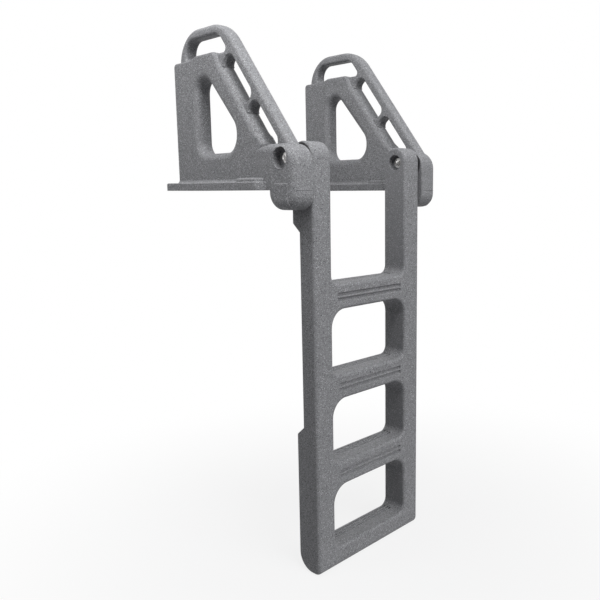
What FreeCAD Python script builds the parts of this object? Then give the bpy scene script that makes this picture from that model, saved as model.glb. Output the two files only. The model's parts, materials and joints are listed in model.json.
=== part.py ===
import FreeCAD, Part
import math
import os
import re

import Sketcher
from FreeCAD import Placement, Rotation, Vector

# A flip-up dock ladder: a moulded ladder panel hangs from two bolts between a mirrored pair of
# moulded deck brackets and swings out over the water, up, and back onto the deck.
# +X runs to the right bracket, +Y runs from the water over the deck, +Z is up.
# The origin is the middle of the left bracket's foot, on the deck.

DRIVING_DIMENSIONS = {
    # foot of the bracket
    "foot_length": 522.0,
    "foot_thickness": 26.0,
    "foot_overhang": 47.0,
    "foot_corner_radius": 14.0,
    "foot_edge_chamfer": 3.0,
    "foot_web_fillet": 12.0,
    # thicker stretch of the foot beside the boss
    "foot_step_start": 14.0,
    "foot_step_end": 110.0,
    "foot_step_rise": 12.0,
    "foot_step_inset": 5.0,
    "foot_step_edge_radius": 8.0,
    # web of the bracket, measured from the dock edge and from the deck
    "web_width": 65.4,
    "web_back": 510.0,
    "web_height": 448.0,
    "web_back_corner_radius": 14.0,
    "web_back_drop": 10.0,
    "web_ramp_start": 372.0,
    "web_ramp_end": 406.0,
    "web_ramp_radius": 40.0,
    "web_front_corner_radius": 30.0,
    "web_edge_radius": 7.0,
    "web_slope_edge_radius": 18.0,
    # teardrop opening in the web
    "opening_back": 375.0,
    "opening_low": 124.0,
    "opening_front": 170.0,
    "opening_roof": 82.0,
    "opening_shoulder": 205.0,
    "opening_peak": 314.0,
    "opening_back_radius": 42.0,
    "opening_front_radius": 55.0,
    "opening_top_radius": 38.0,
    "opening_rim_radius": 24.0,
    # handle rail and grip: the rail's front line leans back from its foot
    "handle_width": 46.0,
    "handle_thickness": 36.0,
    "handle_foot_y": -124.5,
    "handle_foot_z": 100.0,
    "handle_lean": 38.65,
    "handle_back": 489.0,
    "handle_root": 30.0,
    "handle_front_bend": 150.0,
    "handle_back_bend": 112.0,
    "handle_edge_radius": 16.0,
    "grip_clear_height": 57.5,
    "grip_thickness": 33.0,
    "grip_front_radius": 45.0,
    "grip_back_radius": 45.0,
    "grip_foot_radius": 12.0,
    "grip_back_wall": 45.0,
    "grip_front_wall": 9.0,
    # finger slots between the rail and the web
    "slot_gap": 50.9,
    "slot_low": 145.0,
    "slot_top_margin": 10.0,
    "slot_bridge": 23.0,
    "slot_end_radius": 24.0,
    "slot_rim_chamfer": 6.0,
    "grip_rim_radius": 9.0,
    "slot_bite": 4.5,
    # boss that carries the pivot bolt
    "boss_reach": 128.0,
    "boss_top": 140.0,
    "boss_drop": 61.0,
    "boss_outboard": 40.5,
    "boss_inboard": 41.0,
    "boss_tail": 70.0,
    "boss_tail_bury": 1.5,
    "boss_blend_start": 12.0,
    "boss_top_radius": 62.0,
    "boss_front_radius": 50.0,
    "boss_tail_radius": 54.0,
    "boss_edge_radius": 6.0,
    "boss_outer_edge_radius": 25.0,
    # raised pad low on the boss's outer side
    "boss_pad_rise": 2.0,
    "boss_pad_start": 34.0,
    "boss_pad_end": 102.0,
    "boss_pad_top": 22.0,
    "boss_pad_run_out": 3.0,
    "boss_pad_edge_radius": 6.0,
    "boss_recess_diameter": 62.0,
    "boss_recess_depth": 27.0,
    # deck bolt holes
    "deck_hole_diameter": 11.0,
    "deck_hole_spacing": 400.0,
    "deck_hole_inset": 24.0,
    # ladder panel, measured from the pivot axis
    "pivot_height": 97.0,
    "pivot_from_dock": 67.0,
    "pivot_gap": 4.5,
    "panel_width": 519.0,
    "panel_front": 50.0,
    "panel_back": 49.6,
    "panel_head_rise": 53.5,
    "panel_head_radius": 49.4,
    "panel_drop": 1386.0,
    "panel_low_front_radius": 24.0,
    "panel_low_back_radius": 62.0,
    "stile_width": 78.0,
    "tread_pitch": 305.0,
    "first_tread_drop": 399.0,
    "tread_height": 85.6,
    "hole_upper_radius": 60.0,
    "hole_lower_radius": 30.0,
    "panel_edge_radius": 12.0,
    "panel_back_edge_radius": 5.0,
    "hole_front_rim_radius": 11.0,
    "hole_back_rim_chamfer": 4.0,
    "relief_top": 199.0,
    "relief_bottom": 905.0,
    "relief_ramp": 32.0,
    "relief_depth": 36.0,
    "relief_width": 30.0,
    "groove_length": 318.0,
    "groove_depth": 6.0,
    "groove_drop": 29.0,
    "groove_height": 14.0,
    "groove_pitch": 17.0,
    "groove_draft": 25.0,
    "groove_end_radius": 6.0,
    # grip grooves along the top of each tread
    "rib_groove_length": 352.0,
    "rib_groove_width": 6.0,
    "rib_groove_depth": 3.0,
    "rib_groove_inset": 12.0,
    "rib_groove_pitch": 13.0,
    # vent hole above the nut
    "vent_diameter": 5.0,
    "vent_depth": 12.0,
    "vent_rise": 34.0,
    "stile_recess_diameter": 55.0,
    "stile_recess_depth": 22.0,
    # pivot bolt, washers and nut
    "bolt_diameter": 12.7,
    "bolt_head_flats": 19.0,
    "bolt_head_height": 8.0,
    "bolt_tail": 3.0,
    "nut_height": 11.0,
    "washer_diameter": 34.0,
    "washer_thickness": 2.6,
    "running_clearance": 0.1,
    "seat_clearance": 0.3,
}

# Sizes that follow from the driving ones.
HALF_SPACING = "(panel_width / 2 + pivot_gap + boss_inboard)"
HANDLE_CROWN = "(web_height + grip_clear_height + grip_thickness)"
OPENING_TOP = "(web_height - opening_roof)"
SLOT_COUNT = 2
SLOT_RUN = "((web_height - slot_top_margin - slot_low) / cos(handle_lean))"
SLOT_LENGTH = "((%s - slot_bridge * %d) / %d)" % (SLOT_RUN, SLOT_COUNT - 1, SLOT_COUNT)
SLOT_PITCH = "(%s + slot_bridge)" % SLOT_LENGTH

HOLES_BELOW_TREADS = 3
GROOVED_TREADS = 3
GROOVES_PER_TREAD = 2
RIB_GROOVES = 3

SHEET = "Dims"
OUT_DIR = "parts"


def cell(name):
    """The expression that reads one driving dimension."""
    return "%s.%s" % (SHEET, name)


def expand(expression):
    """Write each driving dimension's name in an expression as a reference to its cell."""
    def refer(match):
        word = match.group()
        return cell(word) if word in DRIVING_DIMENSIONS else word

    return re.sub("[a-z_]+", refer, expression)


def fill_sheet(doc):
    """Put the driving dimensions into the spreadsheet, each with its alias."""
    sheet = doc.addObject("Spreadsheet::Sheet", SHEET)
    for row, (name, value) in enumerate(DRIVING_DIMENSIONS.items(), start=1):
        sheet.set("A%d" % row, name)
        sheet.set("B%d" % row, str(value))
        sheet.setAlias("B%d" % row, name)
    doc.recompute()
    return sheet


def value_of(owner, expression):
    """The number that an expression of driving dimensions gives."""
    result = owner.evalExpression(expand(expression))
    return float(getattr(result, "Value", result))


def origin_plane(body, role):
    """The body's own origin plane with this role."""
    for feature in body.Origin.OriginFeatures:
        if feature.Role == role:
            return feature
    raise ValueError("no plane " + role)


def attach_sketch(body, name, role, offset):
    """A new sketch on an origin plane of the body, moved along the plane's normal by an offset."""
    sketch = body.newObject("Sketcher::SketchObject", name)
    sketch.AttachmentSupport = [(origin_plane(body, role), "")]
    sketch.MapMode = "FlatFace"
    sketch.setExpression("AttachmentOffset.Base.z", expand(offset))
    return sketch


def bind(sketch, constraint, expression):
    """Add a constraint and tie its value to the spreadsheet."""
    index = sketch.addConstraint(constraint)
    sketch.setExpression("Constraints[%d]" % index, expand(expression))


def corner_arc(before, corner, after, radius):
    """The tangent arc that rounds a corner: its ends, centre and turning sense."""
    inward = (before - corner).normalize()
    onward = (after - corner).normalize()
    half_angle = inward.getAngle(onward) / 2
    reach = radius / math.tan(half_angle)
    start = corner + inward * reach
    end = corner + onward * reach
    bisector = (inward + onward).normalize()
    centre = corner + bisector * (radius / math.sin(half_angle))
    turns_left = (corner - before).cross(after - corner).z > 0
    return start, end, centre, turns_left


def draw_outline(sketch, corners):
    """Draw a closed outline of straight sides with tangent arcs at its rounded corners.

    Each corner is (first coordinate, second coordinate, radius or None), as expressions.
    """
    points = [Vector(value_of(sketch, c[0]), value_of(sketch, c[1]), 0) for c in corners]
    radii = [value_of(sketch, c[2]) if c[2] else 0.0 for c in corners]
    count = len(corners)
    arcs = []
    for i in range(count):
        before, after = points[i - 1], points[(i + 1) % count]
        arcs.append(corner_arc(before, points[i], after, radii[i]) if radii[i] else None)
    sides = []
    for i in range(count):
        following = (i + 1) % count
        start = arcs[i][1] if arcs[i] else points[i]
        end = arcs[following][0] if arcs[following] else points[following]
        sides.append(sketch.addGeometry(Part.LineSegment(start, end), False))
    for i, (first, second, radius) in enumerate(corners):
        mark = sketch.addGeometry(Part.Point(points[i]), True)
        bind(sketch, Sketcher.Constraint("DistanceX", -1, 1, mark, 1, points[i].x), first)
        bind(sketch, Sketcher.Constraint("DistanceY", -1, 1, mark, 1, points[i].y), second)
        side_in, side_out = sides[i - 1], sides[i]
        if not arcs[i]:
            sketch.addConstraint(Sketcher.Constraint("Coincident", side_in, 2, side_out, 1))
            sketch.addConstraint(Sketcher.Constraint("Coincident", mark, 1, side_out, 1))
            continue
        start, end, centre, turns_left = arcs[i]
        first_angle = math.atan2(start.y - centre.y, start.x - centre.x)
        last_angle = math.atan2(end.y - centre.y, end.x - centre.x)
        if not turns_left:
            first_angle, last_angle = last_angle, first_angle
        circle = Part.Circle(centre, Vector(0, 0, 1), radii[i])
        arc = sketch.addGeometry(Part.ArcOfCircle(circle, first_angle, last_angle), False)
        arc_in, arc_out = (1, 2) if turns_left else (2, 1)
        sketch.addConstraint(Sketcher.Constraint("Tangent", side_in, 2, arc, arc_in))
        sketch.addConstraint(Sketcher.Constraint("Tangent", side_out, 1, arc, arc_out))
        sketch.addConstraint(Sketcher.Constraint("PointOnObject", mark, 1, side_in))
        sketch.addConstraint(Sketcher.Constraint("PointOnObject", mark, 1, side_out))
        bind(sketch, Sketcher.Constraint("Radius", arc, radii[i]), radius)


def draw_circle(sketch, first, second, diameter):
    """Draw a circle whose centre and diameter are expressions."""
    centre = Vector(value_of(sketch, first), value_of(sketch, second), 0)
    radius = value_of(sketch, diameter) / 2
    circle = sketch.addGeometry(Part.Circle(centre, Vector(0, 0, 1), radius), False)
    bind(sketch, Sketcher.Constraint("DistanceX", -1, 1, circle, 3, centre.x), first)
    bind(sketch, Sketcher.Constraint("DistanceY", -1, 1, circle, 3, centre.y), second)
    bind(sketch, Sketcher.Constraint("Diameter", circle, 2 * radius), diameter)


def new_body(doc, name):
    """A new body with its own label."""
    body = doc.addObject("PartDesign::Body", name)
    body.Label = name
    return body


def pad(body, sketch, name, length):
    """Pad a sketch along its normal."""
    feature = body.newObject("PartDesign::Pad", name)
    feature.Profile = sketch
    feature.setExpression("Length", expand(length))
    feature.Document.recompute()
    return feature


def pocket(body, sketch, name, length, along_normal=True):
    """Cut a sketch out of the body and make sure that it removes material."""
    volume_before = body.Shape.Volume
    feature = body.newObject("PartDesign::Pocket", name)
    feature.Profile = sketch
    feature.setExpression("Length", expand(length))
    feature.Reversed = along_normal
    feature.Document.recompute()
    if body.Shape.Volume > volume_before - 1.0:
        raise ValueError(name + " cuts nothing")
    return feature


def edge_names(shape, accept):
    """Names of the edges for which a test on five points along the edge holds."""
    names = []
    for number, edge in enumerate(shape.Edges, start=1):
        first, last = edge.ParameterRange
        steps = [first + (last - first) * k / 4 for k in range(5)]
        if all(accept(edge.valueAt(step)) for step in steps):
            names.append("Edge%d" % number)
    return names


def round_edges(body, name, accept, radius):
    """Fillet the body's edges that pass the test."""
    base = body.Tip
    names = edge_names(base.Shape, accept)
    if not names:
        raise ValueError(name + " finds no edge")
    feature = body.newObject("PartDesign::Fillet", name)
    feature.Base = (base, names)
    feature.setExpression("Radius", expand(radius))
    feature.Document.recompute()
    return feature


def chamfer_edges(body, name, accept, size):
    """Chamfer the body's edges that pass the test."""
    base = body.Tip
    names = edge_names(base.Shape, accept)
    if not names:
        raise ValueError(name + " finds no edge")
    feature = body.newObject("PartDesign::Chamfer", name)
    feature.Base = (base, names)
    feature.setExpression("Size", expand(size))
    feature.Document.recompute()
    return feature


def round_by_place(doc, base, name, radius_at):
    """Round edges with radii that change along them.

    radius_at gives the radius at a point of an edge to be rounded, and None at any other point.
    """
    doc.recompute()
    rounded = doc.addObject("Part::Fillet", name)
    rounded.Base = base
    edges = []
    for number, edge in enumerate(base.Shape.Edges, start=1):
        first, last = edge.ParameterRange
        places = [edge.valueAt(first + (last - first) * k / 4) for k in range(5)]
        if all(radius_at(place) for place in places):
            edges.append((number, radius_at(places[0]), radius_at(places[-1])))
    rounded.Edges = edges
    doc.recompute()
    return rounded


def near(a, b, tolerance=0.01):
    """Whether two lengths are the same."""
    return abs(a - b) < tolerance


# Lines of the bracket's side view, as expressions of a height above the deck.
# Forward and back are measured from the dock edge, which is the front end of the foot.
DOCK_EDGE = "- foot_length / 2"


def from_dock(expression):
    """A place measured back from the dock edge."""
    return DOCK_EDGE + " + " + expression


def rail_front(height):
    """Where the rail's front line is at a height."""
    return from_dock("handle_foot_y + tan(handle_lean) * (%s - handle_foot_z)" % height)


def rail_back(height):
    """Where the rail's back line is at a height."""
    return rail_front(height) + " + handle_thickness / cos(handle_lean)"


def web_front(height):
    """Where the web's sloping front face is at a height."""
    return rail_back(height) + " + slot_gap / cos(handle_lean)"


def make_web(doc):
    """The web of the bracket, with its teardrop opening."""
    body = new_body(doc, "web")
    outline = attach_sketch(body, "web_outline", "YZ_Plane", "- web_width / 2")
    draw_outline(outline, [
        (DOCK_EDGE, "0", None),
        (from_dock("web_back"), "0", None),
        (from_dock("web_back"), "web_height - web_back_drop", "web_back_corner_radius"),
        (from_dock("web_ramp_end"), "web_height - web_back_drop", "web_ramp_radius"),
        (from_dock("web_ramp_start"), "web_height", "web_ramp_radius"),
        (web_front("web_height"), "web_height", "web_front_corner_radius"),
        (web_front("boss_top"), "boss_top", None),
        (DOCK_EDGE, "boss_top", None),
    ])
    pad(body, outline, "web_pad", "web_width")
    opening = attach_sketch(body, "opening_outline", "YZ_Plane", "- web_width")
    draw_outline(opening, [
        (from_dock("opening_back"), "opening_low", "opening_back_radius"),
        (from_dock("opening_back"), OPENING_TOP, "opening_top_radius"),
        (from_dock("opening_peak"), OPENING_TOP, "opening_top_radius"),
        (from_dock("opening_front"), "opening_shoulder", "opening_front_radius"),
        (from_dock("opening_front"), "opening_low", "opening_front_radius"),
    ])
    pocket(body, opening, "opening_cut", "2 * web_width")
    side = value_of(outline, "web_width / 2")
    rim_front = value_of(outline, from_dock("opening_front"))
    rim_back = value_of(outline, from_dock("opening_back"))
    rim_low = value_of(outline, "opening_low")
    rim_top = value_of(outline, OPENING_TOP)
    web_back = value_of(outline, from_dock("web_back"))
    web_top = value_of(outline, "web_height")
    top_front = value_of(outline, web_front("web_height"))
    slope = math.tan(math.radians(value_of(outline, "handle_lean")))
    rim_radius = value_of(outline, "opening_rim_radius")
    edge_radius = value_of(outline, "web_edge_radius")
    slope_radius = value_of(outline, "web_slope_edge_radius")

    def on_rim(point):
        level = rim_low - 0.1 < point.z < rim_top + 0.1
        return near(abs(point.x), side) and level and rim_front - 0.1 < point.y < rim_back + 0.1

    def outline_radius(point):
        if not near(abs(point.x), side):
            return None
        if near(point.y, top_front - (web_top - point.z) * slope):
            return slope_radius
        above_rim = point.z > rim_top + rim_radius + 1
        return edge_radius if above_rim or near(point.y, web_back) else None

    round_edges(body, "opening_rim", on_rim, "opening_rim_radius")
    return round_by_place(doc, body, "web_rounded", outline_radius)


def make_handle(doc):
    """The handle rail and grip of the bracket: one rounded fin with a grip hole and finger slots."""
    body = new_body(doc, "handle")
    root_top = "(web_height - handle_root)"
    outline = attach_sketch(body, "handle_outline", "YZ_Plane", "- handle_width / 2")
    draw_outline(outline, [
        (rail_front("handle_foot_z"), "handle_foot_z", None),
        (web_front("handle_foot_z") + " + handle_root", "handle_foot_z", None),
        (web_front(root_top) + " + handle_root", root_top, None),
        (from_dock("handle_back"), root_top, None),
        (from_dock("handle_back"), HANDLE_CROWN, "handle_back_bend"),
        (rail_front(HANDLE_CROWN), HANDLE_CROWN, "handle_front_bend"),
    ])
    pad(body, outline, "handle_pad", "handle_width")
    side = value_of(outline, "handle_width / 2")
    foot = value_of(outline, "handle_foot_z")
    top = value_of(outline, root_top)
    crown = value_of(outline, HANDLE_CROWN)
    lean = math.radians(value_of(outline, "handle_lean"))
    front_at_foot = value_of(outline, rail_front("handle_foot_z"))
    back = value_of(outline, from_dock("handle_back"))
    root_reach = value_of(outline, web_front("handle_foot_z") + " + handle_root") - front_at_foot
    grip_floor = value_of(outline, "web_height - slot_bite")

    def on_outer_edge(point):
        front_line = front_at_foot + (point.z - foot) * math.tan(lean)
        behind = near(point.y, back) or point.z > top + 1
        return near(abs(point.x), side) and (near(point.y, front_line) or behind)

    round_edges(body, "handle_edges", on_outer_edge, "handle_edge_radius")
    cut_grip(body)
    for number in range(SLOT_COUNT):
        cut_slot(body, number)

    def on_rim(point):
        inside = point.z < crown - 20 and point.y < back - 20 and point.z > foot + 5
        front_line = front_at_foot + (point.z - foot) * math.tan(lean)
        return near(abs(point.x), side) and inside and front_line + 20 < point.y

    def on_grip_rim(point):
        return on_rim(point) and point.z > grip_floor - 1

    def on_slot_rim(point):
        root_line = front_at_foot + root_reach + (point.z - foot) * math.tan(lean)
        return on_rim(point) and point.z < grip_floor - 1 and point.y < root_line - 1

    round_edges(body, "grip_rim", on_grip_rim, "grip_rim_radius")
    chamfer_edges(body, "slot_rims", on_slot_rim, "slot_rim_chamfer")
    return body


def cut_grip(body):
    """The hand hole between the grip and the web's top."""
    low = "(web_height - slot_bite)"
    high = "(web_height + grip_clear_height)"
    grip = attach_sketch(body, "grip_outline", "YZ_Plane", "- handle_width")
    draw_outline(grip, [
        (rail_back(low) + " + grip_front_wall", low, "grip_foot_radius"),
        (from_dock("handle_back - grip_back_wall"), low, "grip_foot_radius"),
        (from_dock("handle_back - grip_back_wall"), high, "grip_back_radius"),
        (rail_back(high) + " + grip_front_wall", high, "grip_front_radius"),
    ])
    pocket(body, grip, "grip_cut", "2 * handle_width")


def cut_slot(body, number):
    """A finger slot between the rail and the web, with ends square to the rail."""
    low = "(slot_low + %d * %s * cos(handle_lean))" % (number, SLOT_PITCH)
    high = "(%s + %s * cos(handle_lean))" % (low, SLOT_LENGTH)
    across = "(slot_gap + slot_bite) * cos(handle_lean)"
    down = "(slot_gap + slot_bite) * sin(handle_lean)"
    slot = attach_sketch(body, "slot_outline_%d" % number, "YZ_Plane", "- handle_width")
    draw_outline(slot, [
        (rail_back(low), low, "slot_end_radius"),
        (rail_back(low) + " + " + across, low + " - " + down, "slot_end_radius"),
        (rail_back(high) + " + " + across, high + " - " + down, "slot_end_radius"),
        (rail_back(high), high, "slot_end_radius"),
    ])
    pocket(body, slot, "slot_cut_%d" % number, "2 * handle_width")


def make_boss(doc):
    """The boss at the front of the bracket, down the dock's edge, that carries the pivot bolt."""
    body = new_body(doc, "boss")
    outline = attach_sketch(body, "boss_outline", "YZ_Plane", "- boss_outboard")
    draw_outline(outline, [
        (from_dock("- boss_reach"), "- boss_drop", "boss_front_radius"),
        (DOCK_EDGE, "- boss_drop", "boss_tail_radius"),
        (DOCK_EDGE, "0", None),
        (from_dock("boss_tail"), "0", None),
        (from_dock("boss_tail"), "boss_top", None),
        (from_dock("- boss_reach"), "boss_top", "boss_top_radius"),
    ])
    pad(body, outline, "boss_pad", "boss_outboard + boss_inboard")
    cut_boss_blend(body, "outer", "-", "boss_outboard")
    cut_boss_blend(body, "inner", "", "boss_inboard")
    blend_start = value_of(outline, from_dock("boss_blend_start"))
    blend_end = value_of(outline, from_dock("boss_tail"))
    buried_side = value_of(outline, "web_width / 2 - boss_tail_bury")
    outboard = value_of(outline, "boss_outboard")
    inboard = value_of(outline, "boss_inboard")

    def on_side(point, across, reach):
        blended = max(0.0, (point.y - blend_start) / (blend_end - blend_start))
        return near(across, reach + (buried_side - reach) * blended, 0.05) and abs(point.z) > 0.01

    round_edges(body, "boss_inner_edges", lambda point: on_side(point, point.x, inboard), "boss_edge_radius")
    round_edges(body, "boss_outer_edges", lambda point: on_side(point, -point.x, outboard),
                "boss_outer_edge_radius")
    return body


def cut_boss_blend(body, name, sign, reach):
    """Slope one side of the boss inwards, so that it runs out on the side of the web."""
    blend = attach_sketch(body, name + "_blend_outline", "XY_Plane", "- 2 * boss_drop")
    side = sign + " (%s)"
    draw_outline(blend, [
        (side % reach, from_dock("boss_blend_start"), None),
        (side % "(web_width / 2 - boss_tail_bury)", from_dock("boss_tail"), None),
        (side % "(web_width / 2 - boss_tail_bury)", from_dock("2 * boss_tail"), None),
        (side % ("2 * " + reach), from_dock("2 * boss_tail"), None),
        (side % ("2 * " + reach), from_dock("boss_blend_start"), None),
    ])
    pocket(body, blend, name + "_blend_cut", "2 * boss_drop + 2 * boss_top")


def make_boss_pad(doc):
    """The raised pad low on the boss's outer side, with soft edges, that runs out under the boss."""
    body = new_body(doc, "raised_pad")
    outer = "(- boss_outboard - boss_pad_rise)"
    outline = attach_sketch(body, "raised_pad_outline", "XZ_Plane", "foot_length / 2 + boss_pad_start")
    draw_outline(outline, [
        (outer, "boss_pad_run_out - boss_drop", "boss_outer_edge_radius + boss_pad_rise"),
        ("0", "boss_pad_run_out - boss_drop", None),
        ("0", "boss_pad_top", None),
        (outer, "boss_pad_top", "boss_pad_edge_radius"),
    ])
    pad(body, outline, "raised_pad_pad", "boss_pad_end - boss_pad_start")
    side = value_of(outline, outer)
    back = value_of(outline, from_dock("- boss_pad_start"))
    front = value_of(outline, from_dock("- boss_pad_end"))

    def on_end(point):
        return near(point.x, side) and (near(point.y, back) or near(point.y, front))

    round_edges(body, "raised_pad_ends", on_end, "boss_pad_edge_radius")
    return body


def make_foot(doc):
    """The foot plate that is bolted to the deck."""
    body = new_body(doc, "foot")
    outline = attach_sketch(body, "foot_outline", "XY_Plane", "0")
    half_width = "(web_width / 2 + foot_overhang)"
    draw_outline(outline, [
        ("- " + half_width, "- foot_length / 2", "foot_corner_radius"),
        (half_width, "- foot_length / 2", "foot_corner_radius"),
        (half_width, "foot_length / 2", "foot_corner_radius"),
        ("- " + half_width, "foot_length / 2", "foot_corner_radius"),
    ])
    pad(body, outline, "foot_pad", "foot_thickness")
    top = value_of(outline, "foot_thickness")
    chamfer_edges(body, "foot_edges", lambda point: near(point.z, top), "foot_edge_chamfer")
    return body


def make_foot_step(doc):
    """The thicker stretch of the foot on both sides of the web, behind the boss."""
    body = new_body(doc, "foot_step")
    outline = attach_sketch(body, "step_outline", "XY_Plane", "foot_thickness / 2")
    half_width = "(web_width / 2 + foot_overhang - foot_step_inset)"
    draw_outline(outline, [
        ("- " + half_width, from_dock("foot_step_start"), "foot_step_inset"),
        (half_width, from_dock("foot_step_start"), "foot_step_inset"),
        (half_width, from_dock("foot_step_end"), "foot_step_inset"),
        ("- " + half_width, from_dock("foot_step_end"), "foot_step_inset"),
    ])
    pad(body, outline, "step_pad", "foot_thickness / 2 + foot_step_rise")
    top = value_of(outline, "foot_thickness + foot_step_rise")
    round_edges(body, "step_edges", lambda point: near(point.z, top), "foot_step_edge_radius")
    return body


def fillet_web_to_foot(doc, web_and_foot):
    """Fill the crease between the web and the foot with a concave fillet."""
    doc.recompute()
    top = value_of(web_and_foot, "foot_thickness")
    side = value_of(web_and_foot, "web_width / 2")
    radius = value_of(web_and_foot, "foot_web_fillet")

    def crease_radius(point):
        return radius if near(point.z, top) and abs(point.x) < side + 0.1 else None

    return round_by_place(doc, web_and_foot, "web_and_foot_filleted", crease_radius)


def cylinder_along_x(doc, name, start, length, diameter):
    """A cylinder along X from a start, on the pivot axis, all given as expressions."""
    cylinder = doc.addObject("Part::Cylinder", name)
    place_on_pivot(cylinder, start)
    cylinder.setExpression("Height", expand(length))
    cylinder.setExpression("Radius", expand("(%s) / 2" % diameter))
    return cylinder


def make_left_bracket(doc):
    """The left bracket: web, handle, boss and foot as one moulding, with its bolt holes."""
    web_and_foot = doc.addObject("Part::MultiFuse", "web_and_foot")
    web_and_foot.Shapes = [make_web(doc), make_foot(doc)]
    web_and_foot.Refine = True
    filleted = fillet_web_to_foot(doc, web_and_foot)
    moulding = doc.addObject("Part::MultiFuse", "bracket_moulding")
    moulding.Shapes = [filleted, make_handle(doc), make_boss(doc), make_boss_pad(doc), make_foot_step(doc)]
    moulding.Refine = True
    doc.recompute()
    holes = [
        cylinder_along_x(doc, "boss_recess", "- boss_outboard - 1", "boss_recess_depth + 1",
                         "boss_recess_diameter"),
        cylinder_along_x(doc, "boss_bore", "- boss_outboard", "boss_outboard + boss_inboard + 1",
                         "bolt_diameter + 2 * running_clearance"),
    ]
    for side in (-1, 1):
        for end in (-1, 1):
            holes.append(deck_hole(doc, side, end))
    drill = doc.addObject("Part::MultiFuse", "bracket_holes")
    drill.Shapes = holes
    bracket = doc.addObject("Part::Cut", "left_bracket")
    bracket.Base = moulding
    bracket.Tool = drill
    bracket.Label = "left_bracket"
    doc.recompute()
    return bracket


def deck_hole(doc, side, end):
    """One hole through the foot for a deck bolt."""
    hole = doc.addObject("Part::Cylinder", "deck_hole")
    hole.setExpression("Placement.Base.x", expand("%d * (web_width / 2 + deck_hole_inset)" % side))
    hole.setExpression("Placement.Base.y", expand("%d * deck_hole_spacing / 2" % end))
    hole.setExpression("Placement.Base.z", "-1")
    hole.setExpression("Height", expand("foot_thickness + 2"))
    hole.setExpression("Radius", expand("deck_hole_diameter / 2"))
    return hole


def mirror_to_right(doc, left_piece):
    """The right-hand twin of a piece, mirrored in the ladder's middle plane."""
    label = left_piece.Label.replace("left", "right")
    twin = doc.addObject("Part::Mirroring", label)
    twin.Source = left_piece
    twin.Normal = Vector(1, 0, 0)
    twin.setExpression("Base.x", expand(HALF_SPACING))
    twin.Label = label
    return twin


def make_ladder_panel(doc):
    """The ladder panel: two stiles and four treads moulded in one piece."""
    blank = make_panel_blank(doc)
    rounded = round_panel(doc, blank)
    body = new_body(doc, "ladder_panel")
    body.BaseFeature = rounded
    body.setExpression("Placement.Base.x", expand(HALF_SPACING))
    body.setExpression("Placement.Base.y", expand(from_dock("- pivot_from_dock")))
    body.setExpression("Placement.Base.z", expand("pivot_height"))
    doc.recompute()
    cut_reliefs(body)
    cut_tread_grooves(body)
    cut_rib_grooves(body)
    cut_pivot_holes(body)
    return body


def make_panel_blank(doc):
    """The panel's side profile at full width, with the gap above the top tread and the holes cut."""
    body = new_body(doc, "panel_blank")
    outline = attach_sketch(body, "side_outline", "YZ_Plane", "- panel_width / 2")
    draw_outline(outline, [
        ("- panel_front", "- panel_drop", "panel_low_front_radius"),
        ("panel_back", "- panel_drop", "panel_low_back_radius"),
        ("panel_back", "panel_head_rise", "panel_head_radius"),
        ("- panel_front", "panel_head_rise", "panel_head_radius"),
    ])
    pad(body, outline, "panel_pad", "panel_width")
    inner = "(panel_width / 2 - stile_width)"
    gap = attach_sketch(body, "top_gap_outline", "XZ_Plane", "- 2 * panel_back")
    draw_outline(gap, [
        ("- " + inner, "- first_tread_drop", "hole_lower_radius"),
        (inner, "- first_tread_drop", "hole_lower_radius"),
        (inner, "2 * panel_head_radius", None),
        ("- " + inner, "2 * panel_head_radius", None),
    ])
    pocket(body, gap, "top_gap_cut", "4 * panel_front")
    hole = attach_sketch(body, "hole_outline", "XZ_Plane", "- 2 * panel_back")
    hole_low = "(- first_tread_drop - tread_pitch)"
    hole_high = "(- first_tread_drop - tread_height)"
    draw_outline(hole, [
        ("- " + inner, hole_low, "hole_lower_radius"),
        (inner, hole_low, "hole_lower_radius"),
        (inner, hole_high, "hole_upper_radius"),
        ("- " + inner, hole_high, "hole_upper_radius"),
    ])
    cut = pocket(body, hole, "hole_cut", "4 * panel_front")
    repeat_down(body, [cut], "hole_pattern", (hole, ["V_Axis"]), HOLES_BELOW_TREADS)
    back = value_of(outline, "panel_back")
    half_width = value_of(outline, "panel_width / 2")
    gap_floor = - value_of(outline, "first_tread_drop")

    def on_back_rim(point):
        return near(point.y, back) and abs(point.x) < half_width - 1 and point.z < gap_floor - 1

    chamfer_edges(body, "back_rims", on_back_rim, "hole_back_rim_chamfer")
    return body


def round_panel(doc, blank):
    """Round the panel's outside, the gap and the front rims: wide at the front, narrow at the back."""
    outside = value_of(blank, "panel_width / 2")
    inside = outside - value_of(blank, "stile_width")
    front = - value_of(blank, "panel_front")
    back = value_of(blank, "panel_back")
    gap_floor = - value_of(blank, "first_tread_drop")
    lowest_floor = gap_floor - HOLES_BELOW_TREADS * value_of(blank, "tread_pitch")
    back_radius = value_of(blank, "panel_back_edge_radius")
    front_radius = value_of(blank, "panel_edge_radius")
    rim_radius = value_of(blank, "hole_front_rim_radius")

    def from_back(point, at_front):
        share = (back - point.y) / (back - front)
        return back_radius + (at_front - back_radius) * share

    def edge_radius(point):
        if near(abs(point.x), outside):
            return from_back(point, front_radius)
        if abs(point.x) > inside + 0.01 or point.z < lowest_floor - 0.01:
            return None
        if point.z < gap_floor - 0.01:
            return rim_radius if near(point.y, front) else None
        on_head = near(abs(point.x), inside) and point.z > -0.01
        on_gap = near(point.y, front) or near(point.y, back) or on_head
        return from_back(point, rim_radius) if on_gap else None

    return round_by_place(doc, blank, "panel_rounded", edge_radius)


def repeat_down(body, features, name, direction, count):
    """Repeat features down the ladder, one tread apart."""
    pattern = body.newObject("PartDesign::LinearPattern", name)
    pattern.Originals = features
    pattern.Direction = direction
    pattern.Reversed = True
    pattern.Occurrences = count
    pattern.setExpression("Length", expand("%d * tread_pitch" % (count - 1)))
    body.Tip = pattern
    body.Document.recompute()


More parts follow.
